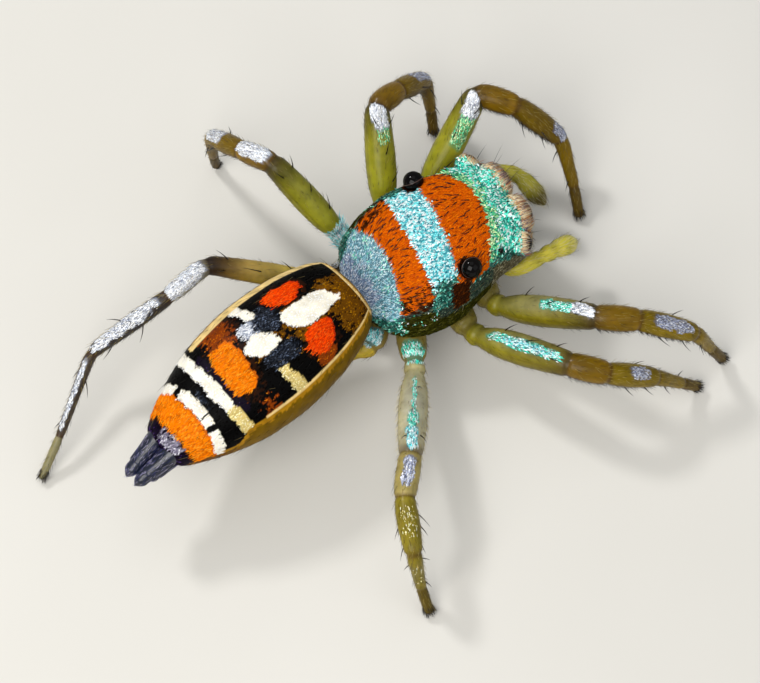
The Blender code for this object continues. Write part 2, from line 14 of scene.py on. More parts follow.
import bpy
import numpy as np
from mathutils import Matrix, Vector


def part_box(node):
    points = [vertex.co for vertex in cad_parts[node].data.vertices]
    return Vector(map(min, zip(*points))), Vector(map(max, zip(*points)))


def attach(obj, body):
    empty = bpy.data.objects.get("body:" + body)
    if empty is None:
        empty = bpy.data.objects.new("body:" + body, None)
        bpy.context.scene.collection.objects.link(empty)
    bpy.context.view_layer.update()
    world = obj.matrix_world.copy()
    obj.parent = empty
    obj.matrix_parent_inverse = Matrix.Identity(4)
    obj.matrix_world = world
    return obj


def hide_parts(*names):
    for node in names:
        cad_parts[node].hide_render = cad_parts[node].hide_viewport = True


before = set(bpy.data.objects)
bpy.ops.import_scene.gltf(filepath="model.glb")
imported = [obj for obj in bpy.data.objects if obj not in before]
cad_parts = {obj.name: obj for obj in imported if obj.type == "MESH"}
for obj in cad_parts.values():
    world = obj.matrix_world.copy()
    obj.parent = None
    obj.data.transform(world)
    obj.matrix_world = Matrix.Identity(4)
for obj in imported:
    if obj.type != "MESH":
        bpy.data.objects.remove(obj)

Array = np.ndarray
LOG = logging.getLogger("jumping_spider")
MM = 0.001
BODY = "root"
BAKE_MAP = "OFBake"
PATCH = 0.003
MAP_EDGE = 0.01
TINT = "tint"
COAT_DEPTH = 0.03
FRONT_LEAN = 0.10
LEAN_HEIGHT = 2.49
SEED = 23
FLESH_DEPTH = 0.00022
FLOOR_GAP = 0.005
FLAKE_POINTS = 5
FLAKE_SINK = 0.006
FLAKE_FACES = np.array(((0, 2, 3), (0, 3, 1), (4, 3, 2), (4, 1, 3), (0, 1, 2), (4, 2, 1)))
HAIR_YAW = 14.0
LOT = 30000
RING_SHARE = 0.05
LENS_SHARE = 0.985
MIXERS = (374761393, 668265263, 974634533, 1274126177)
WORD = 0xFFFFFFFF
EVEN_STEPS = (0.7548776662, 0.5698402910)
READ_STEP = 1e-3


def tone(code: str) -> Array:
    """Turn a hex colour into linear red, green and blue.

    Args:
        code: Six hex digits, as in "C8962C".

    Returns:
        Three linear values from 0 to 1.
    """
    values = np.array([int(code[i:i + 2], 16) for i in (0, 2, 4)]) / 255.0
    return np.where(values <= 0.04045, values / 12.92, ((values + 0.055) / 1.055) ** 2.4)


def unit(vectors: Array) -> Array:
    """Scale each row to length one."""
    return vectors / np.maximum(np.linalg.norm(vectors, axis=-1, keepdims=True), 1e-12)


def smooth_step(low: float, high: float, values: Array) -> Array:
    """Rise smoothly from 0 at low to 1 at high."""
    part = np.clip((values - low) / (high - low), 0.0, 1.0)
    return part * part * (3.0 - 2.0 * part)


def eased(share: Array) -> Array:
    """Slow a reading down near 0 and near 1, so that rings stand closer at both ends."""
    return (1 - np.cos(math.pi * share)) / 2


def framed(chart: Array) -> Array:
    """Draw map coordinates in a little from the map's edge."""
    return chart * (1 - 2 * MAP_EDGE) + MAP_EDGE


def bump(values: Array, centre: float, width: float) -> Array:
    """Give a soft hill of height one about a centre."""
    return np.exp(-((values - centre) / width) ** 2)


def curve_through(stations: tuple, places: Array) -> Array:
    """Read a smooth monotone curve through (place, value) stations.

    Args:
        stations: Pairs in rising order of place.
        places: Where the curve is read.

    Returns:
        The curve's value at each place, held level past both ends.
    """
    at, value = np.array(stations, float).T
    slope = np.diff(value) / np.diff(at)
    before = np.concatenate((slope[:1], slope))
    after = np.concatenate((slope, slope[-1:]))
    same = before * after > 0
    tangent = np.where(same, 2 * before * after / np.where(same, before + after, 1.0), 0.0)
    places = np.clip(places, at[0], at[-1])
    index = np.clip(np.searchsorted(at, places, side="right") - 1, 0, len(at) - 2)
    width = at[index + 1] - at[index]
    u = (places - at[index]) / width
    return (value[index] * (1 + 2 * u) * (1 - u) ** 2 + value[index + 1] * u * u * (3 - 2 * u)
            + width * (tangent[index] * u * (1 - u) ** 2 - tangent[index + 1] * u * u * (1 - u)))


def lattice(corner: Array, seed: int) -> Array:
    """Give each whole-number corner of space a fixed random value.

    Args:
        corner: Whole numbers, three for each corner.
        seed: Picks the values.

    Returns:
        A value from 0 to 1 for each corner.
    """
    mixed = corner[..., 0] * MIXERS[0] + corner[..., 1] * MIXERS[1] + corner[..., 2] * MIXERS[2]
    mixed = (mixed + seed * MIXERS[3]) & WORD
    mixed = ((mixed ^ (mixed >> 13)) * MIXERS[3]) & WORD
    return ((mixed ^ (mixed >> 16)) & WORD) / WORD


def soft_noise(points: Array, size: float, seed: int = 0) -> Array:
    """Read a smooth random field.

    Args:
        points: Places in millimetres, one a row.
        size: Breadth of one blotch in millimetres.
        seed: Picks the field.

    Returns:
        A value from -1 to 1 at each place.
    """
    scaled = points / size
    whole = np.floor(scaled).astype(np.int64)
    part = scaled - whole
    part = part * part * (3 - 2 * part)
    total = np.zeros(len(points))
    for step in np.ndindex(2, 2, 2):
        weight = np.prod(np.where(np.array(step) == 1, part, 1 - part), axis=1)
        total += weight * lattice(whole + np.array(step), seed)
    return total * 2 - 1


def leaned(points: Array) -> Array:
    """Set points of the front body over by its lean, as its solids are."""
    return points - FRONT_LEAN * (LEAN_HEIGHT - points[..., 2:]) * (1, 0, 0)


class Side(Enum):
    """A side of the spider, with the sign of its X."""

    LEFT = 1
    RIGHT = -1

    @property
    def word(self) -> str:
        """The side's name as the nodes use it."""
        return self.name.lower()


class Hue(Enum):
    """A colour of the coat: its deep, middle and bright tone, and the share of each but the middle."""

    # The near-white bright tones of MINT, LIME, ICE and SPARK stand partly for painted glints on single
    # scales.
    MINT = ("04504C", "44F4D4", "FFFFFF", 0.26, 0.54)
    LIME = ("0C5A48", "5CE09C", "F0FFC0", 0.30, 0.46)
    ICE = ("0A6C84", "7CF2F6", "FFFFFF", 0.24, 0.58)
    SEA = ("06302E", "1A6E60", "7CE6CE", 0.44, 0.20)
    RUST = ("A83A02", "D86006", "EA7C0A", 0.16, 0.24)
    DASH = ("160501", "340C03", "501804", 0.40, 0.16)
    UMBER = ("140803", "3C1C08", "6E360E", 0.40, 0.16)
    SLATE = ("24505E", "8CC6D8", "F4FEFF", 0.30, 0.40)
    LILAC = ("46587A", "9EB8D6", "FFFFFF", 0.28, 0.46)
    SPARK = ("20C898", "90FFD4", "FFFFFF", 0.06, 0.66)
    FLANK = ("0E1C16", "2E4236", "7A8E6C", 0.40, 0.16)
    CHEEK = ("2A2412", "6A6244", "B8B292", 0.35, 0.24)
    OLIVE = ("141403", "34340A", "66642C", 0.40, 0.14)
    MARGIN = ("080A06", "12140C", "2A2C20", 0.40, 0.05)
    MAUVE = ("3E3238", "82747C", "CCC0C4", 0.30, 0.26)
    BLACK = ("010101", "050302", "120C10", 0.40, 0.03)
    VIOLET = ("08040E", "1C1028", "6A4C9A", 0.40, 0.14)
    # Painted sheen: the blue-grey highlight of glossy black scales, laid down as scale colour.
    STEEL = ("08090E", "1C2432", "66748E", 0.40, 0.22)
    BRONZE = ("442402", "A06806", "D09414", 0.28, 0.24)
    EMBER = ("5A2002", "C85A06", "FA9014", 0.26, 0.36)
    HONEY = ("9A6C08", "D09A28", "F4CE70", 0.22, 0.26)
    GOLD = ("664A00", "987400", "B48E06", 0.22, 0.16)
    RIM = ("ECC470", "FFF0C0", "FFFFF0", 0.10, 0.56)
    BELLY = ("5A4A14", "8E7A30", "C2AE66", 0.30, 0.20)
    SCARLET = ("C02802", "FF4C06", "FF7422", 0.16, 0.22)
    ORANGE = ("C85A02", "FF8606", "FFAC30", 0.16, 0.26)
    CREAM = ("F2E8CC", "FFFFFF", "FFFFFF", 0.06, 0.60)
    STRAW = ("C8A850", "FFF0AC", "FFFCE0", 0.16, 0.50)
    SMOKE = ("4E4A5A", "9A94A8", "F8F6FF", 0.28, 0.36)
    SILVER = ("7A8296", "E2E8F2", "FFFFFF", 0.14, 0.64)
    FROST = ("4C5470", "A8B0CC", "F6F8FF", 0.26, 0.44)

    def spread(self, count: int, draw: np.random.Generator) -> Array:
        """Draw a tone for each of many scales.

        Args:
            count: How many scales.
            draw: Source of the random numbers.

        Returns:
            One linear colour a row.
        """
        deep, middle, bright = (tone(code) for code in self.value[:3])
        deep_share, bright_share = self.value[3:]
        where = draw.random((count, 1))
        toward = draw.random((count, 1)) ** 0.6
        low = middle + (deep - middle) * toward
        high = middle + (bright - middle) * toward
        mixed = np.where(where < deep_share, low, np.where(where > 1 - bright_share, high, middle))
        return np.clip(mixed * draw.uniform(0.85, 1.15, (count, 1)), 0.0, 1.0)

    @property
    def ground(self) -> Array:
        """The tone of the bare skin under scales of this colour."""
        deep, middle = tone(self.value[0]), tone(self.value[1])
        return deep * 0.75 + middle * 0.25


HUES = tuple(Hue)


def numbers(*hues: Hue) -> list[int]:
    """Give the number of each hue."""
    return [HUES.index(hue) for hue in hues]


class Markings:
    """A hue for each of many points, where a later one lies over an earlier one."""

    def __init__(self, count: int, ground: Hue) -> None:
        """Start with one hue everywhere."""
        self.kind = np.full(count, HUES.index(ground))

    def lay(self, hue: Hue, where: Array) -> None:
        """Lay a hue over the points that a mask picks."""
        self.kind[where] = HUES.index(hue)


def lay_node(tree: bpy.types.NodeTree, kind: str, inputs: dict, **settings) -> bpy.types.Node:
    """Add one node to a tree.

    Args:
        tree: The tree.
        kind: The node's type, without its first words.
        inputs: A value or another node's output for each input.
        settings: The node's own settings.

    Returns:
        The new node.
    """
    node = tree.nodes.new(f"ShaderNode{kind}")
    for label, value in settings.items():
        setattr(node, label, value)
    for label, value in inputs.items():
        if isinstance(value, bpy.types.NodeSocket):
            tree.links.new(value, node.inputs[label])
        else:
            node.inputs[label].default_value = value
    return node


class Grain:
    """Builds the shader groups that the finishes share, all with the same sockets."""

    def __init__(self) -> None:
        """Make each group once."""
        self.groups = {"cuticle": self.make_cuticle(), "fleck": self.make_fleck()}

    @staticmethod
    def start(name: str) -> tuple:
        """Start a group.

        Args:
            name: Name of the group.

        Returns:
            The group, its input node, its output node and the place that its textures read.
        """
        group = bpy.data.node_groups.new(name, "ShaderNodeTree")
        for label, default in (("Scale", 20000.0), ("Depth", 0.2), ("Clear", 0.3), ("Dull", 0.5)):
            socket = group.interface.new_socket(name=label, in_out="INPUT", socket_type="NodeSocketFloat")
            socket.default_value = default
        for label in ("Shade", "Height", "Gloss"):
            group.interface.new_socket(name=label, in_out="OUTPUT", socket_type="NodeSocketFloat")
        entry, leave = group.nodes.new("NodeGroupInput"), group.nodes.new("NodeGroupOutput")
        where = lay_node(group, "TexCoord", {})
        return group, entry, leave, where.outputs["Object"]

    @staticmethod
    def finish(group: bpy.types.NodeTree, entry: bpy.types.Node, leave: bpy.types.Node,
               cloud: bpy.types.NodeSocket, height: bpy.types.NodeSocket) -> bpy.types.NodeTree:
        """Give a group its shade, height and gloss.

        Args:
            group: The group.
            entry: Its input node.
            leave: Its output node.
            cloud: The pattern that shades and dulls the surface.
            height: The pattern that stands out of it.

        Returns:
            The same group.
        """
        lowest = lay_node(group, "Math", {0: 1.0, 1: entry.outputs["Depth"]}, operation="SUBTRACT")
        shade = lay_node(group, "MapRange", {"Value": cloud, "From Min": 0.3, "From Max": 0.7,
                                             "To Min": lowest.outputs[0], "To Max": 1.0})
        gloss = lay_node(group, "MapRange", {"Value": cloud, "From Min": 0.3, "From Max": 0.7,
                                             "To Min": entry.outputs["Clear"],
                                             "To Max": entry.outputs["Dull"]})
        group.links.new(shade.outputs["Result"], leave.inputs["Shade"])
        group.links.new(height, leave.inputs["Height"])
        group.links.new(gloss.outputs["Result"], leave.inputs["Gloss"])
        return group

    def make_cuticle(self) -> bpy.types.NodeTree:
        """Make the skin's fine net of plates, under slower blotches.

        Returns:
            The group.
        """
        group, entry, leave, where = self.start("cuticle_grain")
        cells = lay_node(group, "TexVoronoi", {"Vector": where, "Scale": entry.outputs["Scale"]})
        slower = lay_node(group, "Math", {0: entry.outputs["Scale"], 1: 0.22}, operation="MULTIPLY")
        clouds = lay_node(group, "TexNoise", {"Vector": where, "Scale": slower.outputs[0], "Detail": 4.0})
        return self.finish(group, entry, leave, clouds.outputs["Fac"], cells.outputs["Distance"])

    def make_fleck(self) -> bpy.types.NodeTree:
        """Make the slight change of tone and gloss from scale to scale, with fine barbs.

        Returns:
            The group.
        """
        group, entry, leave, where = self.start("scale_fleck")
        noise = lay_node(group, "TexNoise", {"Vector": where, "Scale": entry.outputs["Scale"]})
        faster = lay_node(group, "Math", {0: entry.outputs["Scale"], 1: 6.0}, operation="MULTIPLY")
        barbs = lay_node(group, "TexNoise", {"Vector": where, "Scale": faster.outputs[0]})
        return self.finish(group, entry, leave, noise.outputs["Fac"], barbs.outputs["Fac"])


@dataclass(frozen=True)
class Finish:
    """How one kind of surface takes the light.

    Its colour is the piece's own tint under the grain's shade, or two tones that the grain mixes.
    """

    name: str
    grain: str = "fleck"
    scale: float = 30000.0
    depth: float = 0.22
    tones: tuple = ()
    clear: float = 0.3
    dull: float = 0.5
    relief: float = 0.15
    relief_height: float = 3e-6
    metallic: float = 0.0
    specular: float = 0.5
    coat: float = 0.0
    coat_roughness: float = 0.1
    flesh: float = 0.0

    def make(self, grain: Grain) -> bpy.types.Material:
        """Make the material.

        Args:
            grain: The shared shader groups.

        Returns:
            The new material.
        """
        material = bpy.data.materials.new(self.name)
        material.use_nodes = True
        tree = material.node_tree
        shader = tree.nodes["Principled BSDF"]
        net = lay_node(tree, "Group", {"Scale": self.scale, "Depth": self.depth, "Clear": self.clear,
                                       "Dull": self.dull}, node_tree=grain.groups[self.grain])
        if self.tones:
            deep, pale = ((*tone(code), 1.0) for code in self.tones)
            colour = lay_node(tree, "Mix", {6: deep, 7: pale, 0: net.outputs["Shade"]}, data_type="RGBA")
        else:
            tint = lay_node(tree, "VertexColor", {}, layer_name=TINT)
            colour = lay_node(tree, "Mix", {6: tint.outputs["Color"], 7: net.outputs["Shade"], 0: 1.0},
                              data_type="RGBA", blend_type="MULTIPLY")
        relief = lay_node(tree, "Bump", {"Strength": self.relief, "Distance": self.relief_height,
                                         "Height": net.outputs["Height"]})
        tree.links.new(colour.outputs[2], shader.inputs["Base Color"])
        tree.links.new(net.outputs["Gloss"], shader.inputs["Roughness"])
        tree.links.new(relief.outputs["Normal"], shader.inputs["Normal"])
        for label, value in (("Metallic", self.metallic), ("Specular IOR Level", self.specular),
                             ("Coat Weight", self.coat), ("Coat Roughness", self.coat_roughness),
                             ("Subsurface Weight", self.flesh), ("Subsurface Scale", FLESH_DEPTH),
                             ("Subsurface Radius", (1.0, 0.75, 0.25))):
            shader.inputs[label].default_value = value
        return material


FINISHES = (
    Finish("body_cuticle", "cuticle", 22000.0, 0.25, clear=0.35, dull=0.55, relief=0.5, specular=0.05),
    Finish("leg_cuticle", "cuticle", 16000.0, 0.3, clear=0.36, dull=0.56, relief=0.2, specular=0.1,
           coat=0.22, coat_roughness=0.24, flesh=0.5),
    Finish("jaw_cuticle", "cuticle", 14000.0, 0.4, clear=0.28, dull=0.5, relief=0.25, coat=0.5, flesh=0.15),
    Finish("glitter_scales", metallic=0.20, clear=0.14, dull=0.36),
    Finish("silver_scales", metallic=0.25, clear=0.18, dull=0.38),
    Finish("velvet_scales", clear=0.6, dull=0.85, specular=0.0),
    Finish("satin_scales", clear=0.35, dull=0.6, specular=0.25),
    Finish("golden_scales", metallic=0.08, clear=0.42, dull=0.60, specular=0.0),
    Finish("chalk_scales", clear=0.5, dull=0.75, specular=0.12),
    Finish("fine_hairs", clear=0.35, dull=0.55, specular=0.25),
    Finish("dark_spines", clear=0.2, dull=0.35),
    Finish("eye_lens", "cuticle", 9000.0, 1.0, ("020202", "0C0705"), 0.03, 0.05, relief=0.0,
           specular=0.0, coat=0.30, coat_roughness=0.02),
    Finish("pale_floor", "cuticle", 260.0, 1.0, ("CFCCC4", "D8D5CE"), 0.65, 0.75, relief=0.05),
)


@dataclass
class Workshop:
    """Makes the pieces: it knows where the body stands, and keeps the finishes and the random draws."""

    shift: Array
    draw: np.random.Generator
    finishes: dict = field(default_factory=dict)

    @classmethod
    def open(cls) -> "Workshop":
        """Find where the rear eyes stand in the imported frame, and make every finish.

        Returns:
            The workshop.
        """
        corners = []
        for side in Side:
            low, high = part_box(f"eye_posterior_lateral_{side.word}")
            corners += [np.array(low), np.array(high)]
        middle = np.mean(corners, axis=0)
        shop = cls(np.array([middle[0], middle[1], 0.0]), np.random.default_rng(SEED))
        grain = Grain()
        for finish in FINISHES:
            shop.finishes[finish.name] = finish.make(grain)
        return shop

    def piece(self, name: str, points: Array, faces: Array, finish: str,
              tints: Array | None = None, spread: Array | None = None,
              smooth: bool = True) -> bpy.types.Object:
        """Make one mesh object out of triangles.

        Args:
            name: Name of the piece.
            points: Its points in millimetres in the body's frame.
            faces: Three point numbers a row.
            finish: Name of its finish.
            tints: One linear colour a point.
            spread: Two map coordinates for each corner of each face.
            smooth: Whether it is shaded smooth.

        Returns:
            The new object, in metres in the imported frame.
        """
        mesh = bpy.data.meshes.new(name)
        count = len(faces)
        mesh.vertices.add(len(points))
        mesh.vertices.foreach_set("co", (points * MM + self.shift).astype(np.float32).ravel())
        mesh.loops.add(count * 3)
        mesh.loops.foreach_set("vertex_index", faces.astype(np.int32).ravel())
        mesh.polygons.add(count)
        mesh.polygons.foreach_set("loop_start", np.arange(0, count * 3, 3, dtype=np.int32))
        mesh.polygons.foreach_set("use_smooth", np.full(count, smooth))
        mesh.update(calc_edges=True)
        if tints is not None:
            layer = mesh.color_attributes.new(TINT, "FLOAT_COLOR", "POINT")
            layer.data.foreach_set("color", np.c_[tints, np.ones(len(tints))].astype(np.float32).ravel())
        if spread is not None:
            chart = mesh.uv_layers.new(name=BAKE_MAP)
            chart.uv.foreach_set("vector", spread.astype(np.float32).ravel())
        mesh.materials.append(self.finishes[finish])
        thing = bpy.data.objects.new(name, mesh)
        bpy.context.scene.collection.objects.link(thing)
        return thing

    def fit(self, thing: bpy.types.Object, slot: str, *nodes: str) -> bpy.types.Object:
        """Set a piece on the body and hide the solids that it stands for.

        Args:
            thing: The piece.
            slot: Not used.
            nodes: The solids that it replaces, if any.

        Returns:
            The same piece.
        """
        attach(thing, BODY)
        if nodes:
            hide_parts(*nodes)
        LOG.info("%s: %d triangles", thing.name, len(thing.data.polygons))
        return thing


def net(rows: int, columns: int, closed: bool = False) -> tuple:
    """Number the triangles between rings of points.

    Args:
        rows: How many rings.
        columns: Points in each ring.
        closed: Whether the last ring joins the first.

    Returns:
        Three point numbers a row, and the column and row of each of those corners.
    """
    grid = np.meshgrid(np.arange(rows if closed else rows - 1), np.arange(columns), indexing="ij")
    row, column = (part.ravel() for part in grid)
    after, above = (column + 1) % columns, (row + 1) % rows * columns
    a, b = row * columns + column, row * columns + after
    c, d = above + column, above + after
    spot = np.stack((column, row), axis=1)
    near, right, up, far = (spot + step for step in ((0, 0), (1, 0), (0, 1), (1, 1)))
    faces = np.concatenate((np.stack((a, b, d), 1), np.stack((a, d, c), 1)))
    return faces, np.concatenate((np.stack((near, right, far), 1), np.stack((near, far, up), 1)))


def facing(points: Array, face: Array) -> Array:
    """Give the direction in which one triangle faces."""
    return np.cross(points[face[1]] - points[face[0]], points[face[2]] - points[face[0]])


class Surface:
    """A closed skin that is read by how far along and how far around a place is."""

    def place(self, along: Array, around: Array) -> Array:
        """Give the point of the skin at each pair of readings."""
        raise NotImplementedError

    def core(self, along: Array) -> Array:
        """Give a point inside the skin at each reading along it."""
        raise NotImplementedError

    def read(self, along: Array, around: Array) -> tuple:
        """Read places on the skin with their directions.

        Args:
            along: Readings from 0 to 1.
            around: Readings from 0 to 1.

        Returns:
            Points, outward directions, and directions in which the coat lies.
        """
        points = self.place(along, around)
        ahead = np.minimum(along + READ_STEP, 1 - READ_STEP / 10)
        behind = np.maximum(along - READ_STEP, READ_STEP / 10)
        lie = unit(self.place(ahead, around) - self.place(behind, around))
        turn = self.place(along, around + READ_STEP) - self.place(along, around - READ_STEP)
        out = unit(np.cross(lie, turn))
        flip = np.sign((out * (points - self.core(along))).sum(axis=1, keepdims=True))
        return points, out * np.where(flip == 0, 1.0, flip), lie

    def scatter(self, density: float, draw: np.random.Generator, rows: int = 120,
                columns: int = 120) -> tuple:
        """Spread places evenly over the skin.

        Args:
            density: How many a square millimetre.
            draw: Source of the random numbers.
            rows: Rows of cells whose areas are measured.
            columns: Cells in each row.

        Returns:
            Readings along and around, one pair for each place.
        """
        edge_a = np.linspace(0, 1, rows + 1)
        edge_b = np.linspace(0, 1, columns + 1)
        grid_a, grid_b = np.meshgrid(edge_a, edge_b, indexing="ij")
        corner = self.place(grid_a.ravel(), grid_b.ravel()).reshape(rows + 1, columns + 1, 3)
        first = corner[1:, 1:] - corner[:-1, :-1]
        second = corner[1:, :-1] - corner[:-1, 1:]
        area = np.linalg.norm(np.cross(first, second), axis=2) / 2
        count = int(area.sum() * density)
        number = np.arange(count)
        start = draw.random(2)
        low = (start[0] + number * EVEN_STEPS[0]) % 1.0
        high = (start[1] + number * EVEN_STEPS[1]) % 1.0
        row_total = np.concatenate(([0.0], np.cumsum(area.sum(axis=1))))
        along = np.interp(low * row_total[-1], row_total, edge_a)
        row = np.clip((along * rows).astype(int), 0, rows - 1)
        share = np.cumsum(area, axis=1) / np.maximum(area.sum(axis=1, keepdims=True), 1e-12)
        keys = (share + np.arange(rows)[:, None]).ravel()
        cell = np.clip(np.searchsorted(keys, row + high) - row * columns, 0, columns - 1)
        around = (cell + draw.random(count)) / columns
        along = np.clip(along + draw.normal(0, 0.15 / rows, count), 0.001, 0.999)
        return along, around

    def nearest(self, points: Array, rows: int = 90) -> tuple:
        """Find the skin's places that are nearest to points beside it.

        Args:
            points: Points, one a row.
            rows: How many places are tried each way.

        Returns:
            Readings along and around, one pair for each point.
        """
        share = (np.arange(rows) + 0.5) / rows
        along, around = (part.ravel() for part in np.meshgrid(share, share, indexing="ij"))
        spots = self.place(along, around)
        best = ((spots ** 2).sum(axis=1)[None] - 2 * points @ spots.T).argmin(axis=1)
        return along[best], around[best]

    def skin(self, shop: Workshop, name: str, finish: str, tints: Callable, rows: int,
             columns: int) -> bpy.types.Object:
        """Make the skin's own mesh.

        Args:
            shop: Makes the piece.
            name: Name of the piece.
            finish: Name of its finish.
            tints: Function of along, around and points that gives a colour a point.
            rows: Rings of points between the two ends.
            columns: Points in each ring.

        Returns:
            The new object.
        """
        ring = np.arange(1, rows + 1) / (rows + 1)
        spin = np.arange(columns) / columns
        grid_a, grid_b = np.meshgrid(ring, spin, indexing="ij")
        along = np.concatenate((grid_a.ravel(), [0.0, 1.0]))
        around = np.concatenate((grid_b.ravel(), [0.0, 0.0]))
        points = self.place(along, around)
        faces, corners = net(rows, columns)
        here = np.arange(columns)
        after = (here + 1) % columns
        last = (rows - 1) * columns
        start_cap = np.stack((np.full(columns, rows * columns), after, here), 1)
        end_cap = np.stack((np.full(columns, rows * columns + 1), last + here, last + after), 1)
        first, final = here * 0, here * 0 + rows
        start_map = np.stack([np.stack(spot, 1) for spot in (
            (here + 0.5, first), (here + 1, first + 1), (here, first + 1))], 1)
        end_map = np.stack([np.stack(spot, 1) for spot in (
            (here + 0.5, final + 1), (here, final), (here + 1, final))], 1)
        faces = np.concatenate((faces, start_cap, end_cap))
        chart = framed(np.concatenate((corners + (0, 1), start_map, end_map)) / (columns, rows + 1))
        middle = len(ring) // 2 * columns
        out = self.read(along[middle:middle + 1], around[middle:middle + 1])[1][0]
        if facing(points, faces[middle]) @ out < 0:
            faces, chart = faces[:, ::-1], chart[:, ::-1]
        return shop.piece(name, points, faces, finish, tints(along, around, points), chart)


class MarkedSurface(Surface):
    """A skin whose bare ground and coat carry the same markings."""

    def hues(self, points: Array) -> Array:
        """Find the number of the coat's hue at each point."""
        raise NotImplementedError

    def tints(self, along: Array, around: Array, points: Array) -> Array:
        """Give the bare skin's colour at each point.

        Args:
            along: Readings from 0 to 1.
            around: Readings from 0 to 1.
            points: The points there.

        Returns:
            One linear colour a row.
        """
        grounds = np.array([hue.ground for hue in HUES])
        shade = 1 + 0.2 * soft_noise(points, 0.12, 9)[:, None]
        return np.clip(grounds[self.hues(points)] * shade, 0, 1)


@dataclass(frozen=True)
class Flake:
    """Shape of one flat scale, in millimetres and degrees."""

    length: float = 0.09
    width: float = 0.03
    ridge: float = 0.005
    lift: float = 12.0
    lift_jitter: float = 6.0
    yaw_jitter: float = 16.0
    roll_jitter: float = 14.0
    curl: float = 0.12
    size_jitter: float = 0.25

    def grow(self, roots: Array, out: Array, lie: Array, draw: np.random.Generator) -> tuple:
        """Grow a closed, pointed scale at each root.

        Args:
            roots: Root points.
            out: Outward directions there.
            lie: Directions in which the coat lies.
            draw: Source of the random numbers.

        Returns:
            Points and faces, with FLAKE_POINTS points for each scale.
        """
        count = len(roots)
        yaw = np.radians(draw.normal(0, self.yaw_jitter, (count, 1)))
        lift = np.radians(np.maximum(draw.normal(self.lift, self.lift_jitter, (count, 1)), 1.0))
        roll = np.radians(draw.normal(0, self.roll_jitter, (count, 1)))
        size = draw.uniform(1 - self.size_jitter, 1 + self.size_jitter, (count, 1))
        side = np.cross(out, lie)
        lie = lie * np.cos(yaw) + side * np.sin(yaw)
        side = np.cross(out, lie)
        reach = lie * np.cos(lift) + out * np.sin(lift)
        back = out * np.cos(lift) - lie * np.sin(lift)
        wing = side * np.cos(roll) + back * np.sin(roll)
        back = np.cross(reach, wing)
        length, width = self.length * size, self.width * draw.uniform(0.8, 1.2, (count, 1)) / 2
        root = roots - out * FLAKE_SINK
        belly = root + reach * length * 0.48
        points = np.stack((root, belly + wing * width, belly - wing * width, belly + back * self.ridge,
                           root + reach * length - back * self.curl * length), axis=1)
        faces = FLAKE_FACES[None] + (np.arange(count) * FLAKE_POINTS)[:, None, None]
        return points.reshape(-1, 3), faces.reshape(-1, 3)

    @staticmethod
    def chart(along: Array, around: Array) -> Array:
        """Lay each scale's faces on a small patch at its root's place.

        Args:
            along: Readings of the roots along the skin.
            around: Readings of the roots around it.

        Returns:
            Two map coordinates for each corner of each face.
        """
        corners = np.array(((0.0, -0.5), (0.5, 0.0), (-0.5, 0.0), (0.0, 0.0), (0.0, 0.5))) * PATCH
        home = framed(np.stack((around % 1.0, along), axis=1))
        return (home[:, None, None, :] + corners[FLAKE_FACES][None]).reshape(-1, 2)


@dataclass
class Hairs:
    """Many hairs to grow: their roots, directions, bends, tints and places on the skin's own map."""

    roots: Array
    reach: Array
    bend: Array
    tints: Array
    along: Array
    around: Array
    lengths: Array | None = None

    @classmethod
    def on(cls, surface: Surface, along: Array, around: Array, tints: Array, lift: float,
           curl: float, draw: np.random.Generator) -> "Hairs":
        """Set hairs on a surface so that they follow its coat.

        Args:
            surface: What they grow on.
            along: Readings of the roots along the surface.
            around: Readings of the roots around it.
            tints: A colour for each hair.
            lift: Degrees between a hair and the skin at its root.
            curl: How far a tip bends back to the skin, in lengths.
            draw: Source of the random numbers.

        Returns:
            The hairs.
        """
        roots, out, lie = surface.read(along, around)
        yaw = np.radians(draw.normal(0, HAIR_YAW, (len(along), 1)))
        lie = lie * np.cos(yaw) + np.cross(out, lie) * np.sin(yaw)
        rise = np.radians(draw.normal(lift, lift * 0.22, (len(along), 1)))
        return cls(roots, lie * np.cos(rise) + out * np.sin(rise),
                   (lie * np.sin(rise) - out * np.cos(rise)) * curl, tints, along, around)


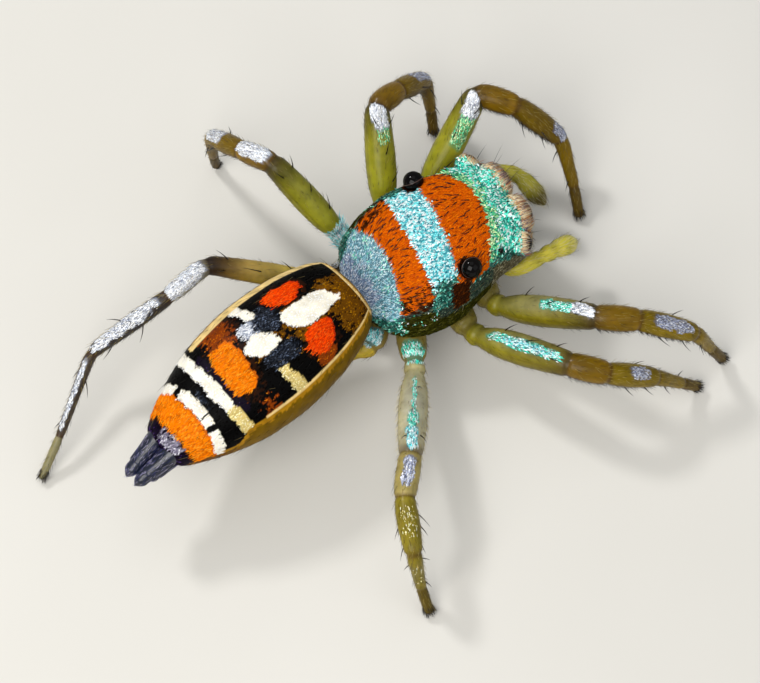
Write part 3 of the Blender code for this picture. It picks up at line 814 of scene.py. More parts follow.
@dataclass(frozen=True)
class Strand:
    """Shape of one round, tapered hair or spine, in millimetres."""

    length: float = 0.3
    radius: float = 0.006
    sides: int = 3
    rings: int = 3
    size_jitter: float = 0.3
    root_depth: float = 0.01

    def grow(self, shop: Workshop, name: str, finish: str, slot: str, hairs: Hairs) -> None:
        """Grow closed, curved hairs as one piece and set it on the body.

        Args:
            shop: Makes the piece.
            name: Name of the piece.
            finish: Name of its finish.
            slot: The record's slot that it stands for.
            hairs: Where they grow and how.
        """
        count = len(hairs.roots)
        length = self.length if hairs.lengths is None else hairs.lengths[:, None]
        length = length * shop.draw.uniform(1 - self.size_jitter, 1 + self.size_jitter, (count, 1))
        first = unit(np.cross(hairs.reach, hairs.reach[:, [1, 2, 0]] + 0.31))
        second = np.cross(hairs.reach, first)
        spin = np.arange(self.sides) / self.sides * 2 * math.pi
        rounds = first[:, None] * np.cos(spin)[None, :, None] + second[:, None] * np.sin(spin)[None, :, None]
        foot = hairs.roots - hairs.reach * self.root_depth
        layers = []
        for step in np.linspace(0, 1, self.rings + 1)[:-1]:
            centre = foot + (hairs.reach * step + hairs.bend * step * step) * length
            layers.append(centre[:, None] + rounds * self.radius * (1 - step) ** 0.7)
        tip = foot + (hairs.reach + hairs.bend) * length
        points = np.concatenate((*layers, tip[:, None]), axis=1).reshape(-1, 3)
        points[:, 2] = np.maximum(points[:, 2], FLOOR_GAP)
        shape = self.shape()
        peak = self.rings * self.sides
        faces = (shape[None] + (np.arange(count) * (peak + 1))[:, None, None]).reshape(-1, 3)
        corner = np.array(((-0.5, -0.5), (0.5, -0.5), (0.0, 0.5))) * PATCH
        home = framed(np.stack((hairs.around % 1.0, hairs.along), axis=1))
        chart = np.repeat(home, len(shape), axis=0)[:, None, :].repeat(3, axis=1) + corner[None]
        tints = np.repeat(hairs.tints, peak + 1, axis=0)
        shop.fit(shop.piece(name, points, faces, finish, tints, chart), slot)

    def shape(self) -> Array:
        """Number the corners of one hair's faces, from its root to its tip.

        Returns:
            Three point numbers a row.
        """
        faces = []
        for ring in range(self.rings - 1):
            for k in range(self.sides):
                a, b = ring * self.sides + k, ring * self.sides + (k + 1) % self.sides
                c, d = a + self.sides, b + self.sides
                faces += [(a, b, d), (a, d, c)]
        last, peak = (self.rings - 1) * self.sides, self.rings * self.sides
        faces += [(last + k, last + (k + 1) % self.sides, peak) for k in range(self.sides)]
        faces += [(0, k + 1, k) for k in range(1, self.sides - 1)]
        return np.array(faces)


@dataclass(frozen=True)
class CoatStyle:
    """One kind of scale: its finish, its shape, how many on a square millimetre, and its hues."""

    finish: str
    flake: Flake
    density: float
    hues: tuple


def scale_coat(shop: Workshop, surface: Surface, name: str, slot: str, style: CoatStyle,
               along: Array, around: Array, kind: Array) -> None:
    """Grow scales at places on a surface, in pieces of at most LOT scales.

    Args:
        shop: Makes the pieces.
        surface: What they grow on.
        name: Name of the piece, with a number where there is more than one.
        slot: The record's slot of the coat.
        style: The kind of scale.
        along: Readings of the roots along the surface.
        around: Readings of the roots around it.
        kind: The number of each scale's hue.
    """
    tints = np.zeros((len(along), 3))
    for number in np.unique(kind):
        same = kind == number
        tints[same] = HUES[number].spread(int(same.sum()), shop.draw)
    lots = np.array_split(np.arange(len(along)), max(1, math.ceil(len(along) / LOT)))
    for number, lot in enumerate(lots):
        if len(lot) == 0:
            continue
        points, faces = style.flake.grow(*surface.read(along[lot], around[lot]), shop.draw)
        label = name if len(lots) == 1 else f"{name}_{number + 1}"
        piece = shop.piece(label, points, faces, style.finish, np.repeat(tints[lot], FLAKE_POINTS, axis=0),
                           style.flake.chart(along[lot], around[lot]), smooth=False)
        shop.fit(piece, slot)


def dress(shop: Workshop, surface: MarkedSurface, name: str, styles: dict, slot: str) -> None:
    """Cover a marked surface with its scales, style by style.

    Args:
        shop: Makes the pieces.
        surface: What is covered.
        name: Start of the pieces' names.
        styles: The styles by name.
        slot: The record's slot of the coat.
    """
    for label, style in styles.items():
        along, around = surface.scatter(style.density, shop.draw)
        kind = surface.hues(surface.place(along, around))
        here = np.flatnonzero(np.isin(kind, numbers(*style.hues)))
        scale_coat(shop, surface, f"{name}_{label}", slot, style, along[here], around[here], kind[here])


def superellipse(half_width: Array, height: Array, turn: Array, squareness: Array) -> tuple:
    """Give the points of a rounded section that are seen at an angle from its centre.

    Args:
        half_width: Half of the section's breadth.
        height: Its reach up or down, on the side that the angle points to.
        turn: Angles from the +X side.
        squareness: The power, where 2 gives an ellipse.

    Returns:
        Sideways and upward distances.
    """
    across = np.abs(np.cos(turn) / half_width) ** squareness
    upward = np.abs(np.sin(turn) / height) ** squareness
    reach = (across + upward) ** (-1.0 / squareness)
    return reach * np.cos(turn), reach * np.sin(turn)


def dome(share: Array) -> Array:
    """Rise as a quarter circle does, from 0 to 1."""
    return np.sqrt(np.clip(1 - (1 - np.clip(share, 0, 1)) ** 2, 0, 1))


def capped(along: Array, start: float, end: float) -> Array:
    """Shrink a section to nothing at both ends, over the shares start and end of its length."""
    return dome(along / start) * dome((1 - along) / end)


@dataclass
class Eye:
    """One pair of eyes: the left one's centre, radius and gaze, and where its lid starts and ends.

    The lid is the skin that lies over the lens. It is bare where the cosine of the angle from
    the gaze is above the first number, and fully covered below the second.
    """

    name: str
    centre: tuple
    radius: float
    gaze: tuple
    lid: tuple

    def home(self, side: Side) -> Array:
        """Give the eye's centre on a side."""
        return leaned(np.array(self.centre) * (side.value, 1, 1))

    def look(self, side: Side) -> Array:
        """Give the direction in which the eye looks."""
        return unit(np.array(self.gaze) * (side.value, 1, 1))


EYES = (
    Eye("anterior_median", (0.40, -1.33, 2.24), 0.375, (0.10, -1.0, 0.02), (0.62, 0.34)),
    Eye("anterior_lateral", (0.99, -1.15, 2.28), 0.205, (0.50, -0.82, 0.25), (0.50, 0.20)),
    Eye("posterior_median", (0.985, -0.68, 2.40), 0.062, (0.80, -0.10, 0.55), (0.94, 0.70)),
    Eye("posterior_lateral", (1.07, 0.00, 2.49), 0.200, (0.78, 0.02, 0.62), (0.20, -0.10)),
)
FRONT_EYES = EYES[:2]
REAR_EYE = EYES[3]


@dataclass
class Carapace(MarkedSurface):
    """The shield over the front body, with its scale bands.

    Each edge of a band runs across the back: its place in the middle, its slant and its curve.
    """

    front: float = -1.50
    rear: float = 2.03
    bottom: float = 1.39
    widths: tuple = ((-1.50, 0.66), (-1.42, 0.90), (-1.25, 1.06), (-1.0, 1.125), (-0.6, 1.17),
                     (-0.2, 1.29), (0.15, 1.38), (0.6, 1.45), (1.0, 1.42), (1.4, 1.30),
                     (1.66, 1.12), (1.85, 0.82), (1.97, 0.48), (2.03, 0.20))
    tops: tuple = ((-1.50, 2.40), (-1.35, 2.51), (-1.0, 2.61), (-0.2, 2.70), (0.4, 2.64),
                   (0.95, 2.44), (1.4, 2.13), (1.75, 1.86), (2.03, 1.66))
    levels: tuple = ((-1.50, 2.08), (-0.9, 2.02), (-0.2, 1.80), (0.5, 1.56), (1.2, 1.52), (2.03, 1.52))
    head_squareness: float = 3.0
    rear_squareness: float = 2.25
    core_rise: float = 0.3
    domes: tuple = (0.10, 0.05)
    lid_depth: float = 0.06
    lid_height: float = 0.018
    mint_front: tuple = (-1.49, -0.05, 0.26)
    rust_front: tuple = (-0.87, -0.05, 0.36)
    ice_front: tuple = (0.01, -0.13, 0.10)
    second_front: tuple = (0.67, -0.09, 0.03)
    slate_front: tuple = (1.14, -0.08, 0.22)

    def core(self, along: Array) -> Array:
        """Give a point inside the shield, a little above its widest level.

        Args:
            along: Readings from 0 to 1.

        Returns:
            One point a row, in millimetres.
        """
        y = self.front + (self.rear - self.front) * eased(along)
        level = curve_through(self.levels, y)
        high = level + self.core_rise * (curve_through(self.tops, y) - level)
        return leaned(np.stack((y * 0, y, high), axis=1))

    def place(self, along: Array, around: Array) -> Array:
        """Give the point of the shield at each pair of readings.

        Args:
            along: Readings from 0 to 1.
            around: Readings from 0 to 1.

        Returns:
            One point a row, in millimetres.
        """
        share = eased(along)
        y = self.front + COAT_DEPTH + (self.rear - self.front - 2 * COAT_DEPTH) * share
        turn = 2 * math.pi * around - math.pi / 2
        half_width = curve_through(self.widths, y) - COAT_DEPTH
        level = curve_through(self.levels, y)
        top = curve_through(self.tops, y) - level - COAT_DEPTH
        height = np.where(np.sin(turn) > 0, top, level - self.bottom - COAT_DEPTH)
        squareness = self.head_squareness + (self.rear_squareness - self.head_squareness) * share
        x, z = superellipse(half_width, height, turn, squareness)
        cap = capped(along, *self.domes)
        centre_z = self.core_rise * top
        points = leaned(np.stack((x * cap, y, level + centre_z + (z - centre_z) * cap), axis=1))
        for eye in EYES:
            for side in Side:
                home, look = eye.home(side), eye.look(side)
                far = np.linalg.norm(points - home, axis=1)
                ray = unit(points - home)
                cover = 1 - smooth_step(eye.lid[1], eye.lid[0], ray @ look)
                sunk = self.lid_depth * eye.radius / REAR_EYE.radius * (1 - cover)
                shell = eye.radius - sunk + self.lid_height * cover
                points = home + ray * np.maximum(far, shell)[:, None]
        return points

    def height_share(self, points: Array) -> Array:
        """Give 0 at the lower edge and 1 at the top of the shield."""
        top = curve_through(self.tops, points[:, 1])
        return (points[:, 2] - self.bottom) / (top - self.bottom)

    def hues(self, points: Array) -> Array:
        """Find the colour of the coat at points of the shield.

        Args:
            points: Places on the shield.

        Returns:
            The number of the hue at each place.
        """
        x = points[:, 0] + FRONT_LEAN * (LEAN_HEIGHT - points[:, 2])
        fine = soft_noise(points, 0.06, 3)
        y = points[:, 1] + fine * 0.030 + soft_noise(points, 0.30, 4) * 0.025
        high = self.height_share(points) + fine * 0.03 + soft_noise(points, 0.20, 5) * 0.03
        mint, rust, ice, second, slate = (
            middle + slant * x + curve * x * x for middle, slant, curve in
            (self.mint_front, self.rust_front, self.ice_front, self.second_front, self.slate_front))
        marks = Markings(len(points), Hue.FLANK)
        marks.lay(Hue.OLIVE, (high < 0.40) | ((y > second) & (high < 0.62)))
        marks.lay(Hue.CHEEK, (y < rust - 0.1) & (high < 0.70))
        marks.lay(Hue.SEA, (y > mint) & (y < rust + 0.3) & (high > 0.66))
        marks.lay(Hue.SEA, (y > ice) & (y < second + 0.1) & (high > 0.58))
        marks.lay(Hue.MINT, (y > mint) & (y < rust) & (high > 0.77))
        marks.lay(Hue.LIME, (y > rust - 0.17 - 0.14 * fine) & (y < rust) & (high > 0.74))
        marks.lay(Hue.RUST, (y > rust) & (y < ice) & (high > 0.70))
        marks.lay(Hue.UMBER, (y > rust + 0.35) & (y < ice + 0.16) & (high > 0.44) & (high < 0.72))
        marks.lay(Hue.ICE, (y > ice) & (y < second) & (high > 0.80))
        marks.lay(Hue.RUST, (y > second) & (y < slate) & (high > 0.69))
        marks.lay(Hue.UMBER, (y > second) & (y < slate) & (high > 0.66) & (high < 0.86) & (fine > 0.0))
        marks.lay(Hue.SEA, (y > slate) & (high > 0.40))
        marks.lay(Hue.SLATE, (y > slate) & (high > 0.69))
        marks.lay(Hue.LILAC, (y > 1.62 + fine * 0.16) & (np.abs(x - 0.15) < 0.62))
        spark = soft_noise(points, 0.024, 6) + 0.35 * soft_noise(points, 0.16, 7)
        marks.lay(Hue.SPARK, (y > slate) & (spark > 0.56 + 0.34 * (y - slate)) & (high > 0.45))
        marks.lay(Hue.SPARK, (y > second) & (high > 0.34) & (high < 0.70) & (spark > 0.66))
        marks.lay(Hue.MAUVE, (y < mint) & (high > 0.62))
        marks.lay(Hue.MARGIN, high < 0.10)
        for side in Side:
            far = np.linalg.norm(points - REAR_EYE.home(side), axis=1)
            marks.lay(Hue.UMBER, far < REAR_EYE.radius * 1.12 + 0.02)
        return marks.kind


COAT_STYLES = {
    "glitter": CoatStyle("glitter_scales", Flake(0.088, 0.036, 0.007, 15.0, 9.0, 42.0, 26.0), 1300.0,
                         (Hue.MINT, Hue.LIME, Hue.ICE, Hue.SEA)),
    "spark": CoatStyle("glitter_scales", Flake(0.050, 0.030, 0.006, 26.0, 8.0, 40.0, 26.0), 1500.0,
                       (Hue.SPARK,)),
    "rust": CoatStyle("velvet_scales", Flake(0.095, 0.018, 0.005, 10.0, 4.0, 12.0, 16.0), 2500.0,
                      (Hue.RUST, Hue.UMBER, Hue.OLIVE, Hue.MARGIN)),
    "slate": CoatStyle("satin_scales", Flake(0.070, 0.017, 0.005, 9.0, 5.0, 20.0, 20.0), 2300.0,
                       (Hue.SLATE, Hue.LILAC, Hue.MAUVE, Hue.FLANK, Hue.CHEEK)),
}


@dataclass
class Head:
    """The front body's top: shield, scales, eyes, and the hairs round them."""

    shop: Workshop
    shield: Carapace = field(default_factory=Carapace)
    dash_density: float = 90.0
    dash_share: float = 0.55
    brow_density: float = 900.0
    brow_depth: float = 0.26
    brow_bottom: float = 2.12
    lashes: int = 420
    lash_tones: tuple = ("FFF0CC", "F8D49C", "EEB070", "D88848", "A86844", "8C7C8A")
    bristle_spots: tuple = ((0.30, -1.55, 2.50), (0.62, -1.46, 2.46), (0.90, -1.24, 2.44),
                            (0.12, -1.50, 2.44), (0.98, -0.45, 2.50), (0.42, -1.30, 2.56))

    def build(self) -> None:
        """Build every piece of the head."""
        skin = self.shield.skin(self.shop, "carapace_skin", "body_cuticle", self.shield.tints, 220, 260)
        self.shop.fit(skin, "carapace", "carapace")
        dress(self.shop, self.shield, "carapace_scales", COAT_STYLES, "carapace")
        self.long_hairs()
        for eye in EYES:
            for side in Side:
                self.lens(eye, side)
        self.brow()
        self.fringe()
        self.bristles()

    def lens(self, eye: Eye, side: Side) -> None:
        """Make one lens, and the thin smooth ring in which it sits.

        Args:
            eye: The pair that the lens belongs to.
            side: Which side it is on.
        """
        home, look, name = eye.home(side), eye.look(side), f"eye_{eye.name}_{side.word}"
        ball = Ball(home, (eye.radius * LENS_SHARE,) * 3, look)
        lens = ball.skin(self.shop, f"{name}_lens", "eye_lens", plain_tint("060506"), 40, 56)
        self.shop.fit(lens, "eye", name)
        ring = Ring(home, look, eye.radius, sum(eye.lid) / 2)
        self.shop.fit(ring.build(self.shop, f"{name}_rim"), "carapace")

    def long_hairs(self) -> None:
        """Lay the dark dashes over the rust bands, and the pale hairs of the flanks and face."""
        draw = self.shop.draw
        along, around = self.shield.scatter(self.dash_density, draw)
        points = self.shield.place(along, around)
        kind = self.shield.hues(points)
        picked = draw.random(len(kind)) < self.dash_share
        rust = np.flatnonzero((kind == HUES.index(Hue.RUST)) & picked)
        tints = Hue.DASH.spread(len(rust), draw)
        hairs = Hairs.on(self.shield, along[rust], around[rust], tints, 24.0, 0.32, draw)
        Strand(0.16, 0.0155, rings=4, size_jitter=0.35).grow(
            self.shop, "carapace_dashes", "fine_hairs", "carapace", hairs)
        low = np.flatnonzero(np.isin(kind, numbers(Hue.FLANK, Hue.CHEEK, Hue.SEA)))
        tints = Hue.CHEEK.spread(len(low), draw) * 1.2
        hairs = Hairs.on(self.shield, along[low], around[low], tints, 20.0, 0.2, draw)
        Strand(0.16, 0.0045, rings=3).grow(self.shop, "carapace_hairs", "fine_hairs", "carapace", hairs)

    def brow(self) -> None:
        """Lay the band of forward hairs over the brow, grey behind, then brown and cream in front."""
        draw = self.shop.draw
        along, around = self.shield.scatter(self.brow_density, draw)
        roots, out, _ = self.shield.read(along, around)
        edge = self.shield.mint_front[0] + self.shield.mint_front[2] * roots[:, 0] ** 2 + 0.10
        here = (roots[:, 1] < edge) & (roots[:, 2] > self.brow_bottom)
        for eye in FRONT_EYES:
            for side in Side:
                before = unit(roots - eye.home(side)) @ eye.look(side) > 0.40
                close = np.linalg.norm(roots - eye.home(side), axis=1) < eye.radius * 1.2
                here &= ~(close & before)
        keep = np.flatnonzero(here)
        roots, out, edge = roots[keep], out[keep], edge[keep]
        forward = np.array((0.0, -1.0, -0.05))
        ahead = unit(forward - out * (out @ forward)[:, None])
        ahead = unit(ahead + draw.normal(0, 0.12, ahead.shape))
        rise = np.radians(draw.normal(16, 5, (len(keep), 1)))
        shades = np.array([tone(code) for code in self.lash_tones[::-1]])
        place = (edge - roots[:, 1]) / self.brow_depth * 3.6 + draw.normal(0, 0.9, len(keep))
        tints = shades[np.clip(place, 0, len(shades) - 1).astype(int)]
        tints = tints * draw.uniform(0.7, 1.05, (len(keep), 1))
        hairs = Hairs(roots, ahead * np.cos(rise) + out * np.sin(rise),
                      (ahead * np.sin(rise) - out * np.cos(rise)) * 0.3, np.clip(tints, 0, 1),
                      along[keep], around[keep])
        Strand(0.19, 0.0075, rings=4).grow(self.shop, "brow_hairs", "fine_hairs", "carapace", hairs)

    def fringe(self) -> None:
        """Lay neat lashes over the tops of the front lenses, close to the lens and forward."""
        draw = self.shop.draw
        shades = np.array([tone(code) for code in self.lash_tones])
        sets = []
        for eye in FRONT_EYES:
            for side in Side:
                look = eye.look(side)
                up = unit(np.array((0.0, 0.0, 1.0)) - look * look[2])
                across = np.cross(look, up)
                count = int(self.lashes * eye.radius / FRONT_EYES[0].radius)
                turn = np.radians(draw.uniform(-105, 105, (count, 1)))
                out = up * np.cos(turn) + across * np.sin(turn)
                layer = draw.random((count, 1))
                start = np.radians(draw.normal(82, 6, (count, 1)))
                end = start - np.radians(draw.uniform(22, 42, (count, 1)))
                rise = eye.radius * (1.04 + 0.08 * layer)
                root = eye.home(side) + (look * np.cos(start) + out * np.sin(start)) * rise
                tip = eye.home(side) + (look * np.cos(end) + out * np.sin(end)) * (rise + 0.02)
                tangent = look * np.sin(start) - out * np.cos(start)
                reach = unit(tangent + across * draw.normal(0, 0.10, (count, 1)))
                length = np.linalg.norm(tip - root, axis=1)
                deep = 4.2 if eye is FRONT_EYES[0] else 2.4
                pick = np.clip((1 - layer[:, 0]) * deep + draw.normal(0, 0.9, count), 0, len(shades) - 1)
                tints = shades[pick.astype(int)] * draw.uniform(0.75, 1.05, (count, 1))
                bend = (tip - root) / length[:, None] - reach
                sets.append((root, reach, bend, np.clip(tints, 0, 1), length))
        roots, reach, bend, tints, lengths = (np.concatenate(part) for part in zip(*sets))
        hairs = Hairs(roots, reach, bend, tints, *self.shield.nearest(roots), lengths)
        Strand(1.0, 0.0075, rings=4, size_jitter=0.12).grow(
            self.shop, "eye_fringe", "fine_hairs", "carapace", hairs)

    def bristles(self) -> None:
        """Set the few long dark bristles of the face and the eye field."""
        draw = self.shop.draw
        spots = np.array([leaned(np.array(spot) * (side.value, 1, 1))
                          for spot in self.bristle_spots for side in Side])
        sides = np.sign(spots[:, :1])
        spots = spots + draw.normal(0, 0.03, spots.shape) - (0, 0, 0.05)
        reach = unit(np.array((0.0, -0.80, 0.50)) + sides * (0.35, 0, 0) + draw.normal(0, 0.22, spots.shape))
        bend = np.repeat(((0.0, -0.16, -0.08),), len(spots), axis=0)
        tints = np.repeat(tone("0C0A08")[None], len(spots), axis=0)
        hairs = Hairs(spots, reach, bend, tints, *self.shield.nearest(spots))
        Strand(0.42, 0.0065, sides=4, rings=6, size_jitter=0.35).grow(
            self.shop, "face_bristles", "dark_spines", "carapace", hairs)


def plain_tint(code: str) -> Callable:
    """Make a function that gives one colour, slightly mottled, to every point.

    Args:
        code: The colour's hex digits.

    Returns:
        A function of along, around and points.
    """
    colour = tone(code)
    return lambda along, around, points: np.clip(
        colour * (1 + 0.15 * soft_noise(points, 0.08, 2)[:, None]), 0, 1)


@dataclass
class Ball(Surface):
    """An ellipsoid whose ends lie on a given axis."""

    centre: Array
    half: tuple
    axis: Array = field(default_factory=lambda: np.array((0.0, 1.0, 0.0)))

    def frame(self) -> tuple:
        """Give the ball's own directions.

        Returns:
            The axis and the two directions across it.
        """
        axis = unit(np.array(self.axis, float))
        helper = np.array((0.0, 0.0, 1.0)) if abs(axis[2]) < 0.9 else np.array((1.0, 0.0, 0.0))
        across = unit(np.cross(axis, helper))
        return axis, across, np.cross(across, axis)

    def core(self, along: Array) -> Array:
        """Give the centre for every reading."""
        return np.repeat(np.array(self.centre)[None], len(along), axis=0)

    def place(self, along: Array, around: Array) -> Array:
        """Give the point of the ball at each pair of readings.

        Args:
            along: Readings from 0 to 1.
            around: Readings from 0 to 1.

        Returns:
            One point a row, in millimetres.
        """
        axis, across, upward = self.frame()
        polar = math.pi * along
        turn = 2 * math.pi * around - math.pi / 2
        x = np.sin(polar) * np.cos(turn) * self.half[0]
        z = np.sin(polar) * np.sin(turn) * self.half[2]
        y = -np.cos(polar) * self.half[1]
        return self.centre + axis * y[:, None] + across * x[:, None] + upward * z[:, None]


@dataclass
class Ring:
    """A smooth ring of dark cuticle round a lens."""

    centre: Array
    look: Array
    radius: float
    forward: float

    def build(self, shop: Workshop, name: str) -> bpy.types.Object:
        """Make the ring.

        Args:
            shop: Makes the piece.
            name: Name of the piece.

        Returns:
            The new object.
        """
        laps, sides = 64, 12
        first = unit(np.cross(self.look, (0.0, 0.0, 1.0)))
        second = np.cross(first, self.look)
        lap, side = np.meshgrid(np.arange(laps), np.arange(sides), indexing="ij")
        big = lap.ravel() / laps * 2 * math.pi
        small = side.ravel() / sides * 2 * math.pi
        out = first[None] * np.cos(big)[:, None] + second[None] * np.sin(big)[:, None]
        width = math.sqrt(1 - self.forward ** 2)
        centre = self.centre + (self.look * self.forward + out * width) * self.radius * LENS_SHARE
        around = out * np.cos(small)[:, None] + self.look * np.sin(small)[:, None]
        points = centre + around * self.radius * RING_SHARE
        faces, corners = net(laps, sides, closed=True)
        chart = framed(corners / (sides, laps))
        if facing(points, faces[0]) @ (points[faces[0, 0]] - centre[0]) < 0:
            faces, chart = faces[:, ::-1], chart[:, ::-1]
        tints = plain_tint("341806")(None, None, points)
        return shop.piece(name, points, faces, "jaw_cuticle", tints, chart)


@dataclass(frozen=True)
class Patch:
    """A rounded patch of one hue on the abdomen, by its share of the length and degrees from the middle."""

    hue: Hue
    s: float
    psi: float
    length: float
    breadth: float
    power: float = 2.6
    slant: float = 0.0
    bare: float = -1.0

    def covers(self, s: Array, psi: Array, dust: Array) -> Array:
        """Tell which places the patch covers.

        Args:
            s: Shares of the abdomen's length.
            psi: Degrees from the middle of its back.
            dust: Fine noise, of which only what is above the bare level counts.

        Returns:
            True where it covers.
        """
        u = np.abs((s - self.s - self.slant * (psi - self.psi)) / self.length)
        v = np.abs((psi - self.psi) / self.breadth)
        deep = u ** self.power + v ** self.power
        thinning = deep * 0.8 if self.bare > -1.0 else 0.0
        return (deep < 1.0 + 0.28 * dust) & (dust > self.bare + thinning)


PATCHES = (
    Patch(Hue.BRONZE, 0.08, 22, 0.10, 46, 3, 0, -0.75),
    Patch(Hue.BRONZE, 0.235, 2, 0.150, 23, 3, -0.0015, -0.45),
    Patch(Hue.BRONZE, 0.470, 2, 0.085, 19, 3, -0.0012, -0.45),
    Patch(Hue.UMBER, 0.262, -35, 0.100, 18, 2.6, -0.0008, -0.60),
    Patch(Hue.UMBER, 0.272, 36, 0.088, 20, 2.6, 0.0006, -0.60),
    Patch(Hue.UMBER, 0.604, -2, 0.080, 44, 3, 0.0004, -0.60),
    Patch(Hue.BRONZE, 0.30, 12, 0.12, 26, 3, 0, -0.20),
    # These two patches are painted sheen: the blue-grey highlight of the glossy black scales.
    Patch(Hue.STEEL, 0.385, -20, 0.055, 18, 2.6, 0, -0.80),
    Patch(Hue.STEEL, 0.430, 24, 0.080, 12, 2.6, 0, -0.80),
    Patch(Hue.UMBER, 0.545, -56, 0.080, 28, 3, 0, -0.90),
    Patch(Hue.EMBER, 0.560, -50, 0.066, 28, 3, 0, -0.60),
    Patch(Hue.EMBER, 0.590, 56, 0.050, 13, 3, 0, -0.10),
    Patch(Hue.VIOLET, 0.678, 0, 0.024, 48, 4),
    # Painted sheen: a grey highlight across the black band between the rear white bands.
    Patch(Hue.STEEL, 0.768, 0, 0.022, 32, 3, 0, 0.05),
    Patch(Hue.EMBER, 0.295, 54, 0.050, 8, 2.6, 0, -0.80),
    Patch(Hue.SCARLET, 0.262, -35, 0.078, 13, 2.3, -0.0008),
    Patch(Hue.SCARLET, 0.270, 35.5, 0.068, 15, 2.2, 0.0006),
    Patch(Hue.CREAM, 0.225, 2, 0.112, 17.5, 4.5, -0.0015),
    Patch(Hue.CREAM, 0.435, -52, 0.024, 21, 3, -0.0006),
    # Painted glint: this silver patch stands for a bluish-white highlight between the cream patches.
    Patch(Hue.SILVER, 0.470, -23, 0.036, 14, 2.4, 0, -0.45),
    Patch(Hue.STRAW, 0.460, 50, 0.024, 20, 3, -0.0006),
    Patch(Hue.ORANGE, 0.606, -2, 0.058, 34, 3.4, 0.0004),
    Patch(Hue.CREAM, 0.470, 0, 0.062, 13.5, 3.2, -0.0012),
)


